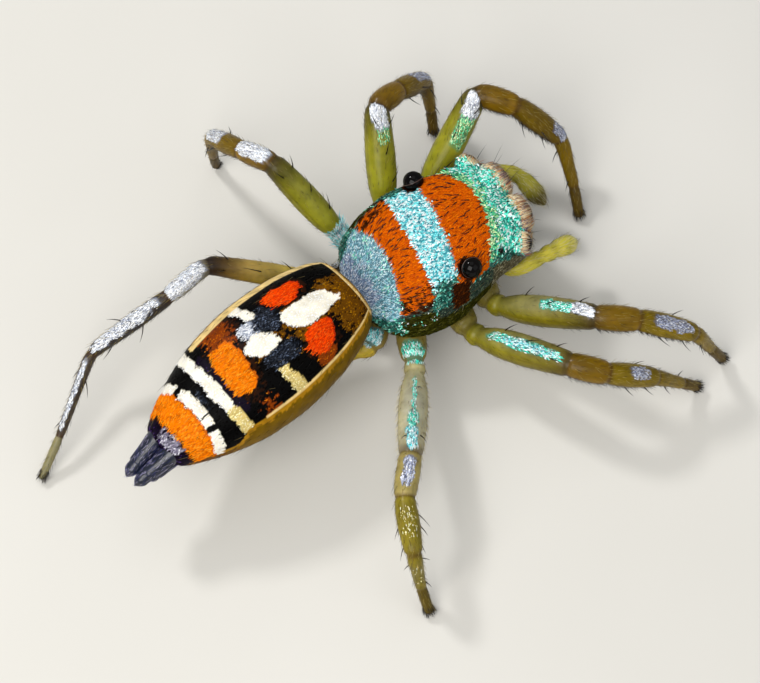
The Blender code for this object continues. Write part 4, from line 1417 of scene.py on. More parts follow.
@dataclass
class Abdomen(MarkedSurface):
    """The long rear body, which swings to the right, with its patches and bands."""

    front: tuple = (-0.13, 2.06, 2.14)
    rear: tuple = (-1.24, 6.68, 1.98)
    widths: tuple = ((0.0, 0.50), (0.03, 0.76), (0.12, 1.0), (0.28, 1.19), (0.45, 1.25), (0.62, 1.18),
                     (0.78, 0.97), (0.90, 0.72), (0.97, 0.53), (1.0, 0.36))
    height_ratio: float = 0.75
    squareness: float = 2.15
    roll: float = 4.5
    rim_angle: float = 69.0
    rim_height: float = 0.009

    def axes(self) -> tuple:
        """Give the abdomen's own directions.

        Returns:
            The front point, the axis, and its sideways and upward directions.
        """
        front, rear = np.array(self.front), np.array(self.rear)
        axis = rear - front
        across = unit(np.cross(axis, (0.0, 0.0, 1.0)))
        return front, axis, across, unit(np.cross(across, axis))

    def core(self, along: Array) -> Array:
        """Give the axis point at each reading."""
        front, axis, _, _ = self.axes()
        return front + axis * eased(along)[:, None]

    def place(self, along: Array, around: Array) -> Array:
        """Give the point of the abdomen at each pair of readings.

        Args:
            along: Readings from 0 to 1.
            around: Readings from 0 to 1.

        Returns:
            One point a row, in millimetres.
        """
        front, axis, across, upward = self.axes()
        share = eased(along)
        length = np.linalg.norm(axis)
        inner = COAT_DEPTH / length + (1 - 2 * COAT_DEPTH / length) * share
        half_width = curve_through(self.widths, inner)
        degrees = (np.asarray(around) % 1.0) * 360.0 - 180.0
        turn = math.pi / 2 - np.radians(degrees)
        x, z = superellipse(half_width - COAT_DEPTH, half_width * self.height_ratio - COAT_DEPTH, turn,
                            np.full_like(turn, self.squareness))
        wide = np.abs(degrees - self.roll)
        fade = 1 - smooth_step(0.50, 0.75, share)
        side_rim = bump(wide, self.rim_angle, 3.2) * smooth_step(0.01, 0.06, share) * fade
        front_rim = bump(share, 0.028, 0.010) * (wide < 76)
        groove = bump(wide, self.rim_angle - 8, 5.0) * (share > 0.04) * fade
        grow = 1 + self.rim_height * (np.maximum(side_rim, front_rim) - groove)
        cap = capped(along, 0.09, 0.06) * grow
        along_axis = front + axis * inner[:, None]
        return along_axis + across * (-x * cap)[:, None] + upward * (z * cap)[:, None]

    def readings(self, points: Array) -> tuple:
        """Turn points back into readings.

        Args:
            points: Places on the abdomen.

        Returns:
            Shares of the length, and degrees from the middle of the back.
        """
        front, axis, across, upward = self.axes()
        offset = points - front
        s = offset @ axis / (axis @ axis)
        psi = np.degrees(np.arctan2(offset @ -across, offset @ upward))
        return s, psi - self.roll

    def hues(self, points: Array) -> Array:
        """Find the colour of the coat at points of the abdomen.

        Args:
            points: Places on the abdomen.

        Returns:
            The number of the hue at each place.
        """
        s, psi = self.readings(points)
        even = s
        s = s + soft_noise(points, 0.055, 21) * 0.006 + soft_noise(points, 0.20, 22) * 0.009
        flat = np.abs(psi)
        psi = psi + soft_noise(points, 0.06, 23) * 1.5 + soft_noise(points, 0.24, 24) * 2.6
        wide, bow = np.abs(psi), (psi / 75.0) ** 2
        dust = soft_noise(points, 0.045, 25)
        marks = Markings(len(points), Hue.BLACK)
        for patch in PATCHES:
            marks.lay(patch.hue, patch.covers(s, psi, dust))
        first = np.abs(s + 0.018 * bow - 0.722) < 0.0235
        marks.lay(Hue.CREAM, first & (wide < 84))
        marks.lay(Hue.STRAW, first & (psi > 34))
        broken = (np.abs(wide - 41) > 4.5) & (np.abs(psi - 22) > 1.5)
        marks.lay(Hue.CREAM, (np.abs(s - 0.806 - 0.03 * bow) < 0.019) & (wide < 86) & broken)
        marks.lay(Hue.ORANGE, (s > 0.828 + 0.026 * bow) & (s < 0.930) & (wide < 92))
        marks.lay(Hue.UMBER, (s >= 0.930) & (s < 0.950))
        marks.lay(Hue.VIOLET, s >= 0.945)
        # Smoky band before the spinnerets: partly its grey scales, partly a painted white glint off centre to
        # the right.
        marks.lay(Hue.SMOKE, (s > 0.938) & (s < 0.982) & (dust > -0.30) & (np.abs(psi - 12) < 38))
        edge = np.where(psi > 0, 62.5 + 16 * smooth_step(0.68, 0.80, s),
                        self.rim_angle + 24 * smooth_step(0.60, 0.72, s))
        # The flank's own gold with painted shading: brighter honey along its upper edge, darker gold lower
        # down.
        marks.lay(Hue.HONEY, (flat > edge) & (s < 0.83))
        marks.lay(Hue.GOLD, (flat > edge + 6 + 4 * dust) & (s < 0.83))
        marks.lay(Hue.BRONZE, (wide > 84) & (s + 0.08 * dust > 0.80) & (s < 0.95))
        marks.lay(Hue.RIM, (np.abs(flat - edge - 0.8) < 1.0) & (psi > 0) & (s < 0.64))
        marks.lay(Hue.RIM, (flat > 60.5) & (flat < 72) & (psi < 0) & (s < 0.66))
        marks.lay(Hue.HONEY, (even < 0.040) & (flat < 76))
        marks.lay(Hue.RIM, (np.abs(even - 0.034) < 0.006) & (flat < 74))
        marks.lay(Hue.GOLD, s < 0.018)
        marks.lay(Hue.BELLY, (wide > 106) & (s < 0.95))
        return marks.kind


ABDOMEN_STYLES = {
    "dark": CoatStyle("velvet_scales", Flake(0.075, 0.020, 0.003, 4.5, 2.5, 11.0, 10.0), 1900.0,
                      (Hue.BLACK, Hue.VIOLET, Hue.BRONZE, Hue.UMBER, Hue.EMBER)),
    # Scales of painted sheen and glint, and of the smoky rear band.
    "steel": CoatStyle("satin_scales", Flake(0.075, 0.020, 0.005, 9.0, 5.0, 20.0, 18.0), 1900.0,
                       (Hue.STEEL, Hue.SMOKE, Hue.SILVER)),
    "fire": CoatStyle("velvet_scales", Flake(0.095, 0.018, 0.005, 9.0, 5.0, 11.0, 16.0), 2300.0,
                      (Hue.SCARLET, Hue.ORANGE)),
    "chalk": CoatStyle("chalk_scales", Flake(0.052, 0.030, 0.004, 6.0, 3.0, 20.0, 12.0), 2900.0,
                       (Hue.CREAM, Hue.STRAW)),
    "gold": CoatStyle("golden_scales", Flake(0.055, 0.030, 0.002, 3.0, 1.5, 14.0, 6.0), 2300.0,
                      (Hue.GOLD, Hue.HONEY, Hue.RIM, Hue.BELLY)),
}


@dataclass
class Lobe(Surface):
    """A round body along a smooth path, which swells by stations and ends in a dome."""

    path: "SmoothPath"
    radii: tuple
    up: tuple = (0.0, 0.0, 1.0)
    flatness: float = 1.0
    start_cap: float = 0.02
    end_cap: float = 0.06

    def __post_init__(self) -> None:
        """Work out the directions along the path once."""
        self.samples = 241
        share = np.linspace(0, 1, self.samples)
        self.spots = self.path.read(share)
        tangent = unit(np.gradient(self.spots, axis=0))
        for _ in range(3):
            tangent = unit(np.concatenate((tangent[:1], tangent[:-2] + tangent[1:-1] * 2 + tangent[2:],
                                           tangent[-1:])))
        up = np.repeat(np.array(self.up, float)[None], self.samples, axis=0)
        back = unit(up - tangent * (up * tangent).sum(axis=1, keepdims=True))
        for _ in range(30):
            back = np.concatenate((back[:1], back[:-2] + back[1:-1] * 2 + back[2:], back[-1:]))
            back = unit(back - tangent * (back * tangent).sum(axis=1, keepdims=True))
        self.tangent, self.back = tangent, back

    def between(self, table: Array, along: Array) -> Array:
        """Read a table of samples between its rows.

        Args:
            table: One sample a row.
            along: Readings from 0 to 1.

        Returns:
            One mixed row for each reading.
        """
        at = np.clip(along, 0, 1) * (self.samples - 1)
        low = np.minimum(at.astype(int), self.samples - 2)
        part = (at - low)[:, None]
        return table[low] * (1 - part) + table[low + 1] * part

    def core(self, along: Array) -> Array:
        """Give the path's point at each reading."""
        return self.between(self.spots, along)

    def radius(self, along: Array) -> Array:
        """Give the radius at each reading."""
        return curve_through(self.radii, along)

    def place(self, along: Array, around: Array) -> Array:
        """Give the point of the body at each pair of readings.

        Args:
            along: Readings from 0 to 1.
            around: Readings from 0 to 1.

        Returns:
            One point a row, in millimetres.
        """
        centre, tangent = self.core(along), unit(self.between(self.tangent, along))
        back = unit(self.between(self.back, along))
        side = np.cross(tangent, back)
        turn = 2 * math.pi * np.asarray(around) - math.pi
        reach = self.radius(along) * capped(along, self.start_cap, self.end_cap)
        reach = np.maximum(reach, 1e-5)
        raised = centre + back * (reach * np.cos(turn))[:, None]
        return raised + side * (reach * self.flatness * np.sin(turn))[:, None]


class SmoothPath:
    """A polyline whose corners are rounded, as the solids' own paths are."""

    def __init__(self, joints: list, bend: float) -> None:
        """Round each inner joint.

        Args:
            joints: The corners, one point each.
            bend: How far before and after a corner the rounding starts and ends.
        """
        joints = [np.array(joint, float) for joint in joints]
        points, corners = [joints[0]], []
        for before, joint, after in zip(joints, joints[1:], joints[2:]):
            start = joint - unit(joint - before) * bend
            end = joint + unit(after - joint) * bend
            for u in np.linspace(0, 1, 7):
                points.append(start * (1 - u) ** 2 + joint * 2 * u * (1 - u) + end * u * u)
            corners.append(len(points) - 4)
        points.append(joints[-1])
        self.points = np.array(points)
        steps = np.linalg.norm(np.diff(self.points, axis=0), axis=1)
        self.distances = np.concatenate(([0.0], np.cumsum(steps)))
        self.length = self.distances[-1]
        self.marks = [0.0, *(self.distances[corner] for corner in corners), self.length]

    def read(self, share: Array) -> Array:
        """Give the points at shares of the length."""
        at = share * self.length
        return np.stack([np.interp(at, self.distances, self.points[:, k]) for k in range(3)], axis=1)


LEG_LENGTHS = {
    1: (2.38, 0.82, 1.29, 1.05, 0.65),
    2: (2.22, 0.74, 1.14, 0.98, 0.58),
    3: (2.23, 0.81, 1.11, 1.14, 0.58),
    4: (2.54, 0.94, 1.86, 1.72, 0.90),
}
COXA_ROOT = {1: -0.42, 2: 0.26, 3: 0.96, 4: 1.60}
COXA_ROOT_X = 0.16
COXA_ROOT_Z = 1.03
FOOT_HEIGHT = 0.10
JOINT_BEND = 0.26
SEGMENTS = ("coxa", "femur", "patella", "tibia", "metatarsus", "tarsus")


class LegTone(Enum):
    """A leg's cuticle: tones of its coxa, femur root and end, patella, tibia, metatarsus and tarsus."""

    YELLOW = ("8E8432", "9C9A20", "86801C", "806006", "6E5606", "7A6002", "5A4608")
    OLIVE = ("7E7230", "8A8212", "80721A", "7A5C02", "7C6600", "806800", "564208")
    PALE = ("8A7A38", "B8AC74", "C4BC98", "A8985A", "86781E", "7A6C16", "5A4A10")
    DARK = ("8E7A3A", "CCB034", "7A5220", "B0A890", "3A3430", "4C4238", "8A8460")


@dataclass(frozen=True)
class Gleam:
    """A streak of bright scales on a leg: its place, hue and fullness, and its middle and half breadth.

    Its angle runs from the top of the leg, and is positive on the side toward the head.
    """

    segment: str
    start: float
    end: float
    hue: Hue
    fill: float = 0.8
    angle: float = 0.0
    half: float = 60.0

    def chance(self, index: Array, share: Array, angle: Array, points: Array) -> Array:
        """Give the chance that a scale of the streak stands at each place.

        Args:
            index: Numbers of the segments.
            share: Shares of the segments.
            angle: Degrees from the top of the leg.
            points: The points there.

        Returns:
            Chances from 0 to 1.
        """
        off = np.abs((angle - self.angle + 180.0) % 360.0 - 180.0) / self.half
        far = np.abs(share * 2 - self.start - self.end) / (self.end - self.start)
        rough = soft_noise(points, 0.09, 41) * 0.42 + soft_noise(points, 0.04, 42) * 0.30
        edge = off ** 2.5 + far ** 4 + rough * (0.25 + off + far * 0.6)
        return self.fill * (1 - smooth_step(0.72, 1.02, edge)) * (index == SEGMENTS.index(self.segment))


@dataclass(frozen=True)
class Stance:
    """How one leg stands: its hip, the swing and lift of its segments, and its shape, tones and streaks."""

    side: Side
    pair: int
    hip: tuple
    swings: tuple
    lifts: tuple
    tones: LegTone
    slim: float = 1.0
    frost: float = 0.3
    knee: float = 0.5
    tuft: int = 0
    gleams: tuple = ()

    @property
    def name(self) -> str:
        """The start of the names of this leg's solids."""
        return f"leg_{self.side.word}_{self.pair}"

    def direction(self, swing: float, lift: float) -> Array:
        """Turn a swing and a lift into a direction.

        Args:
            swing: Degrees toward the head.
            lift: Degrees above the level.

        Returns:
            The direction.
        """
        swing, lift = math.radians(swing), math.radians(lift)
        return np.array((self.side.value * math.cos(swing) * math.cos(lift),
                         -math.sin(swing) * math.cos(lift), math.sin(lift)))

    def joints(self) -> list:
        """Work out where the leg's joints are.

        Returns:
            One point a joint, from the root of the coxa to the foot.
        """
        root = leaned(np.array((COXA_ROOT_X * self.side.value, COXA_ROOT[self.pair], COXA_ROOT_Z)))
        joints = [root, np.array(self.hip)]
        lengths = LEG_LENGTHS[self.pair]
        for length, swing, lift in zip(lengths, self.swings, self.lifts):
            joints.append(joints[-1] + self.direction(swing, lift) * length)
        drop = (joints[-1][2] - FOOT_HEIGHT) / lengths[-1]
        lift = -math.degrees(math.asin(min(drop, 1.0)))
        joints.append(joints[-1] + self.direction(self.swings[-1], lift) * lengths[-1])
        return joints


STANCES = (
    Stance(
        Side.LEFT, 1, (1.31, -0.33, 1.08), (62, 134, 133, 188, 194), (30, -10, -42, -43),
        LegTone.YELLOW, frost=0, knee=0.9, gleams=(
            Gleam("femur", 0.50, 0.84, Hue.LIME, 0.7, 10, 34),
            Gleam("femur", 0.78, 0.98, Hue.SILVER, 1, 5, 44),
            Gleam("tibia", 0.66, 1, Hue.FROST, 0.9, 0, 42))),
    Stance(
        Side.LEFT, 2, (1.35, 0.45, 1.06), (24, 68, 68, 155, 197), (42, -23, -38, -80),
        LegTone.YELLOW, frost=0, knee=0.8, gleams=(
            Gleam("femur", 0.66, 0.84, Hue.LIME, 0.5, 0, 30),
            Gleam("femur", 0.80, 1, Hue.SILVER, 1, 0, 42),
            Gleam("tibia", 0.40, 1, Hue.FROST, 1, 0, 50))),
    Stance(
        Side.LEFT, 3, (1.35, 1.39, 1.05), (-30, -24, -14, 20, 49), (46, -20, -32, -78),
        LegTone.YELLOW, slim=0.9, frost=0.05, knee=0.9, tuft=320, gleams=(
            Gleam("coxa", 0.45, 1.1, Hue.ICE, 1, 0, 170),
            Gleam("femur", -0.1, 0.16, Hue.ICE, 1, 0, 170),
            Gleam("femur", -0.1, 0.13, Hue.SILVER, 1, 0, 60),
            Gleam("patella", 0.02, 0.98, Hue.SILVER, 1, 0, 60),
            Gleam("tibia", 0.45, 0.95, Hue.SILVER, 1, 0, 60))),
    Stance(
        Side.LEFT, 4, (0.62, 2.11, 1.06), (-63, -102, -88, -128, -121), (24, -7, -24, -22),
        LegTone.DARK, slim=0.74, frost=0.15, knee=1.35, gleams=(
            Gleam("patella", 0.05, 0.96, Hue.SILVER, 1, 0, 80),
            Gleam("tibia", 0.10, 0.95, Hue.SILVER, 1, 0, 56),
            Gleam("metatarsus", 0.05, 0.90, Hue.SILVER, 0.85, 0, 34))),
    Stance(
        Side.RIGHT, 1, (-1.38, -0.37, 1.08), (34, 61, 61, 79, 62), (32, -9, -28, -65),
        LegTone.OLIVE, frost=0.25, knee=0.7, gleams=(
            Gleam("femur", 0.52, 0.88, Hue.MINT, 1, -14, 22),
            Gleam("femur", 0.80, 0.98, Hue.SILVER, 1, -8, 32),
            Gleam("tibia", 0.14, 0.82, Hue.FROST, 0.95, -8, 34))),
    Stance(
        Side.RIGHT, 2, (-1.69, 0.30, 1.06), (29, 49, 71, 81, 75), (23, -8, -30, -50),
        LegTone.OLIVE, frost=0.2, knee=0.4, gleams=(
            Gleam("femur", 0.20, 0.94, Hue.MINT, 1, -20, 23),
            Gleam("femur", 0.34, 0.88, Hue.ICE, 0.8, -21, 14),
            Gleam("tibia", 0.30, 0.70, Hue.FROST, 0.95, -6, 36))),
    Stance(
        Side.RIGHT, 3, (-1.74, 1.59, 1.05), (-33, -39, -21, 5, -7), (19, -12, -1, -78),
        LegTone.PALE, slim=0.92, frost=0.6, knee=0.2, gleams=(
            Gleam("coxa", 0.70, 1, Hue.MINT, 0.7),
            Gleam("femur", 0.18, 0.62, Hue.MINT, 0.8, 0, 9),
            Gleam("femur", 0.60, 0.80, Hue.MINT, 1, 0, 20),
            Gleam("femur", 0.76, 0.97, Hue.ICE, 1, 0, 28),
            Gleam("patella", 0.06, 0.70, Hue.FROST, 1, 0, 30),
            Gleam("tibia", 0.15, 0.75, Hue.STRAW, 0.14, 0, 44),
            Gleam("metatarsus", 0.1, 0.8, Hue.STRAW, 0.1, 0, 44))),
    Stance(
        Side.RIGHT, 4, (-0.98, 2.12, 1.00), (-116, 172, 96, 90, 82), (-10, -14, 0, -2),
        LegTone.DARK, slim=0.74, frost=0.4, knee=1, gleams=(
            Gleam("coxa", 0.60, 1, Hue.ICE, 0.8),
            Gleam("patella", 0.05, 0.96, Hue.SILVER, 0.95, 0, 80),
            Gleam("tibia", 0.10, 0.95, Hue.SILVER, 0.9),
            Gleam("metatarsus", 0.05, 0.9, Hue.SILVER, 0.8, 0, 42))),
)

SEGMENT_SHAPES = {
    "coxa": ((0.0, 0.22), (0.25, 0.27), (0.6, 0.29), (0.84, 0.25), (0.93, 0.18), (1.0, 0.20)),
    "femur": ((0.05, 0.22), (0.085, 0.185), (0.14, 0.215), (0.30, 0.28), (0.50, 0.30),
              (0.72, 0.285), (0.90, 0.258), (0.965, 0.245), (1.0, 0.215)),
    "patella": ((0.10, 0.235), (0.5, 0.245), (0.90, 0.222), (1.0, 0.192)),
    "tibia": ((0.08, 0.21), (0.4, 0.228), (0.8, 0.20), (0.94, 0.18), (1.0, 0.145)),
    "metatarsus": ((0.08, 0.152), (0.5, 0.13), (0.92, 0.115), (1.0, 0.098)),
    "tarsus": ((0.12, 0.11), (0.6, 0.105), (0.9, 0.095), (1.0, 0.08)),
}


class LegSkin(Lobe):
    """One leg from coxa to foot, with necks at its joints and its own colours."""

    def __init__(self, stance: Stance) -> None:
        """Work out the leg's path and its profile.

        Args:
            stance: How the leg stands.
        """
        self.stance = stance
        joints = stance.joints()
        path = SmoothPath(joints, JOINT_BEND)
        self.marks = np.array(path.marks) / path.length
        radii = []
        for index, name in enumerate(SEGMENTS):
            low, high = self.marks[index], self.marks[index + 1]
            slim = 1.0 if name == "coxa" else stance.slim
            radii += [(low + (high - low) * share, radius * slim) for share, radius in SEGMENT_SHAPES[name]]
        outward = unit((joints[-1] - joints[1]) * (1, 1, 0))
        up = np.array((0.0, 0.0, 1.0)) + outward * 0.4
        super().__init__(path, tuple(radii), tuple(up), start_cap=0.004, end_cap=0.012)

    def segment(self, along: Array) -> tuple:
        """Find the number of the segment at each reading, and the share of it."""
        index = np.clip(np.searchsorted(self.marks, along, side="right") - 1, 0, len(SEGMENTS) - 1)
        return index, (along - self.marks[index]) / (self.marks[index + 1] - self.marks[index])

    def along(self, segment: str, share: float) -> float:
        """Give the reading along the leg of a share of a segment."""
        index = SEGMENTS.index(segment)
        return self.marks[index] + (self.marks[index + 1] - self.marks[index]) * share

    def angle(self, around: Array) -> Array:
        """Give degrees from the top of the leg, positive on the side toward the head."""
        return (np.asarray(around) * 360.0 - 180.0) * self.stance.side.value

    def around(self, angle: Array) -> Array:
        """Give the reading around the leg of an angle from its top."""
        return (0.5 + angle / 360.0 * self.stance.side.value) % 1.0

    def tints(self, along: Array, around: Array, points: Array) -> Array:
        """Give the bare skin's colour at each point, with painted shade on its sides and underside and a
        partly painted highlight on the femur's top.

        Args:
            along: Readings from 0 to 1.
            around: Readings from 0 to 1.
            points: The points there.

        Returns:
            One linear colour a row.
        """
        index, share = self.segment(along)
        stance = self.stance
        dorsal = np.cos(np.radians(self.angle(around)))
        tones = np.array([tone(code) for code in stance.tones.value])
        starts, ends = tones[[0, 1, 3, 4, 5, 6]][index], tones[[0, 2, 3, 4, 5, 6]][index]
        mixed = starts + (ends - starts) * (share ** 1.5)[:, None]
        brown, dark, pale = tone("4A2E10"), tone("1A120C"), tone("A8A89C")
        shades = (
            # The femur's top is paled: partly its lighter cuticle, partly a painted highlight along the upper
            # side.
            (smooth_step(0.25, 0.9, dorsal) * (index == 1) * bump(share, 0.5, 0.42) * stance.frost, pale),
            # Painted shade: a brown stripe down each side of the femur for the glassy leg's darker edges,
            # then a darker underside along the whole leg.
            (bump(np.abs(dorsal), 0.12, 0.10) * (index == 1) * 0.35, brown),
            (smooth_step(0.2, -0.7, dorsal) * 0.35, brown * 0.3),
            (np.clip(bump(share, 1.0, 0.06) + bump(share, 0.0, 0.035) * (index > 1), 0, 1)
             * (index > 0) * (index < 5) * 0.65, brown),
            (smooth_step(0.66, 1.0, share) * (index == 1) * stance.knee * 0.7, dark * 1.6),
            (smooth_step(0.5, 0.0, share) * (index == 2) * stance.knee * 0.5, dark * 1.6),
        )
        gleams = ((gleam.chance(index, share, self.angle(around), points) * 0.7, gleam.hue.ground)
                  for gleam in stance.gleams if gleam.fill > 0.6)
        for weight, shade in (*shades, *gleams):
            mixed = mixed + (shade - mixed) * weight[:, None]
        mottle = 1 + 0.14 * soft_noise(points, 0.22, 31) + 0.10 * soft_noise(points, 0.06, 32)
        return np.clip(mixed * mottle[:, None], 0, 1)


@dataclass
class Leg:
    """One leg with its skin, scales, hairs, spines and claws.

    Each spine has its segment, its share of it, its angle from the top and its length.
    """

    shop: Workshop
    stance: Stance
    grid: tuple = (200, 40)
    hair_density: float = 150.0
    fringe_density: float = 420.0
    spine_lean: float = 47.0
    lowest_tip: float = 0.04
    brush: int = 110
    spines_at: tuple = (
        ("femur", 0.34, 12.0, 0.34), ("femur", 0.60, -8.0, 0.36), ("femur", 0.86, 34.0, 0.30),
        ("femur", 0.88, -38.0, 0.30), ("tibia", 0.26, 132.0, 0.34), ("tibia", 0.40, -128.0, 0.34),
        ("tibia", 0.72, 136.0, 0.30), ("tibia", 0.80, -132.0, 0.30), ("tibia", 0.56, 80.0, 0.26),
        ("metatarsus", 0.20, 110.0, 0.26), ("metatarsus", 0.32, -105.0, 0.26),
        ("metatarsus", 0.84, 80.0, 0.20))

    def __post_init__(self) -> None:
        """Make the surface that everything grows on."""
        self.surface = LegSkin(self.stance)

    def grow(self, name: str, strand: Strand, hairs: Hairs, finish: str = "fine_hairs",
             slot: str = "limb") -> None:
        """Grow hairs as one piece of this leg.

        Args:
            name: End of the piece's name.
            strand: Their shape.
            hairs: Where they grow and how.
            finish: Name of their finish.
            slot: The record's slot that they stand for.
        """
        strand.grow(self.shop, f"{self.stance.name}_{name}", finish, slot, hairs)

    def build(self) -> None:
        """Build every piece of the leg."""
        name = self.stance.name
        skin = self.surface.skin(self.shop, f"{name}_skin", "leg_cuticle", self.surface.tints, 300, 36)
        parts = ("coxa", "femur", "patella_tibia", "metatarsus_tarsus")
        self.shop.fit(skin, "limb", *(f"{name}_{part}" for part in parts))
        self.scales()
        self.hairs()
        if self.stance.pair == 1 or (self.stance.side is Side.RIGHT and self.stance.pair < 4):
            self.fringe()
        if self.stance.tuft:
            self.tuft()
        self.spines()
        self.foot()

    def scales(self) -> None:
        """Lay the bright streaks of scales along the leg."""
        draw = self.shop.draw
        style = CoatStyle("silver_scales", Flake(0.105, 0.022, 0.004, 4.0, 3.0, 7.0, 14.0), 4200.0, ())
        along, around = self.surface.scatter(style.density, draw, *self.grid)
        index, share = self.surface.segment(along)
        angle = self.surface.angle(around)
        points = self.surface.place(along, around)
        kind = np.full(len(along), -1)
        for gleam in self.stance.gleams:
            wanted = draw.random(len(along)) < gleam.chance(index, share, angle, points)
            kind[wanted] = HUES.index(gleam.hue)
        keep = np.flatnonzero(kind >= 0)
        scale_coat(self.shop, self.surface, f"{self.stance.name}_scales", "limb_dark", style,
                   along[keep], around[keep], kind[keep])

    def hairs(self) -> None:
        """Grow the fine hairs of the leg, dark below and golden above."""
        draw = self.shop.draw
        along, around = self.surface.scatter(self.hair_density, draw, *self.grid)
        index, _ = self.surface.segment(along)
        chance = np.array((0.4, 0.35, 0.7, 1.0, 1.0, 1.0))[index]
        keep = np.flatnonzero(draw.random(len(along)) < chance)
        along, around, index = along[keep], around[keep], index[keep]
        upper = np.cos(np.radians(self.surface.angle(around))) > 0.0
        golden = upper & (draw.random(len(keep)) < 0.6)
        tints = np.where(golden[:, None], tone("A8944A"), tone("3A2A0C"))
        tints = np.clip(tints * draw.uniform(0.6, 1.2, (len(keep), 1)), 0, 1)
        hairs = Hairs.on(self.surface, along, around, tints, 26.0, 0.15, draw)
        self.grow("hairs", Strand(0.13, 0.0038, rings=3, size_jitter=0.4), hairs)

    def tuft(self) -> None:
        """Grow the bright tuft of hairs over the hip."""
        draw, count = self.shop.draw, self.stance.tuft
        share = draw.uniform(-0.10, 0.16, count)
        along = np.array([self.surface.along("femur", value) for value in share])
        around = self.surface.around(draw.normal(0, 55, count))
        tints = np.clip(Hue.ICE.spread(count, draw) * 1.6, 0, 1)
        hairs = Hairs.on(self.surface, along, around, tints, 42.0, 0.25, draw)
        self.grow("tuft", Strand(0.17, 0.0095, rings=3, size_jitter=0.35), hairs, "chalk_scales")

    def fringe(self) -> None:
        """Grow the fringe of longer hairs under the leg, pale on the pale leg and dark on the others."""
        draw = self.shop.draw
        pale = self.stance.tones is LegTone.PALE
        along, around = self.surface.scatter(self.fringe_density, draw, *self.grid)
        index, _ = self.surface.segment(along)
        angle = np.abs((self.surface.angle(around) + 180.0) % 360.0 - 180.0)
        wanted = (angle > (84 if pale else 104)) & (angle < (106 if pale else 160))
        keep = np.flatnonzero(wanted & np.isin(index, (1,) if pale else (2, 3)))
        tints = tone("E8DCB0" if pale else "1E1206") * draw.uniform(0.7, 1.2, (len(keep), 1))
        hairs = Hairs.on(self.surface, along[keep], around[keep], np.clip(tints, 0, 1), 46.0, 0.3, draw)
        self.grow("fringe", Strand(0.12, 0.0042, rings=3, size_jitter=0.4), hairs)

    def spines(self) -> None:
        """Set the leg's curved black spines, at the same places as on its solids."""
        draw = self.shop.draw
        along = np.array([self.surface.along(segment, share) for segment, share, _, _ in self.spines_at])
        turn = np.array([angle for _, _, angle, _ in self.spines_at]) + draw.normal(0, 7.0, len(along))
        lengths = np.array([length for *_, length in self.spines_at])
        around = self.surface.around(turn)
        roots, out, lie = self.surface.read(along, around)
        lean = np.radians(draw.normal(self.spine_lean, 6.0, (len(along), 1)))
        reach = unit(out * np.cos(lean) + lie * np.sin(lean))
        bend = lie * 0.20 - out * 0.10
        high = np.flatnonzero((roots + (reach + bend) * lengths[:, None])[:, 2] > self.lowest_tip)
        tints = np.repeat(tone("140C06")[None], len(high), axis=0)
        hairs = Hairs(roots[high], reach[high], bend[high], tints, along[high], around[high], lengths[high])
        strand = Strand(1.0, 0.0135, sides=6, rings=8, size_jitter=0.15)
        self.grow("spines", strand, hairs, "dark_spines", "limb_dark")

    def foot(self) -> None:
        """Make the claw tuft: a brush of dark hairs spread toward the floor, with two claws in it."""
        draw, count = self.shop.draw, self.brush
        along, around = draw.uniform(0.975, 0.997, count), draw.random(count)
        roots, out, lie = self.surface.read(along, around)
        down = np.array((0.0, 0.0, -1.0))
        ahead = unit((lie * (1, 1, 0)).mean(axis=0))
        reach = unit(ahead * 0.8 + down * 0.35 + out * 0.45 + draw.normal(0, 0.10, (count, 3)))
        tints = tone("1C140E")[None] * draw.uniform(0.6, 1.6, (count, 1))
        hairs = Hairs(roots, reach, np.repeat((down * 0.25)[None], count, axis=0), tints, along, around)
        self.grow("claw_tuft", Strand(0.10, 0.0052, size_jitter=0.25), hairs, slot="limb_dark")
        side = unit(np.cross(ahead, (0, 0, 1)))
        reach = unit(np.stack((ahead + side * 0.25, ahead - side * 0.25)) + (0, 0, 0.25))
        spot = np.array((0.985, 0.985))
        hairs = Hairs(self.surface.core(spot), reach, np.repeat(((0.0, 0.0, -0.55),), 2, axis=0),
                      np.repeat(tone("0E0806")[None], 2, axis=0), spot, np.array((0.3, 0.7)))
        strand = Strand(0.15, 0.016, sides=6, rings=7, size_jitter=0.0)
        self.grow("claws", strand, hairs, "dark_spines", "limb_dark")


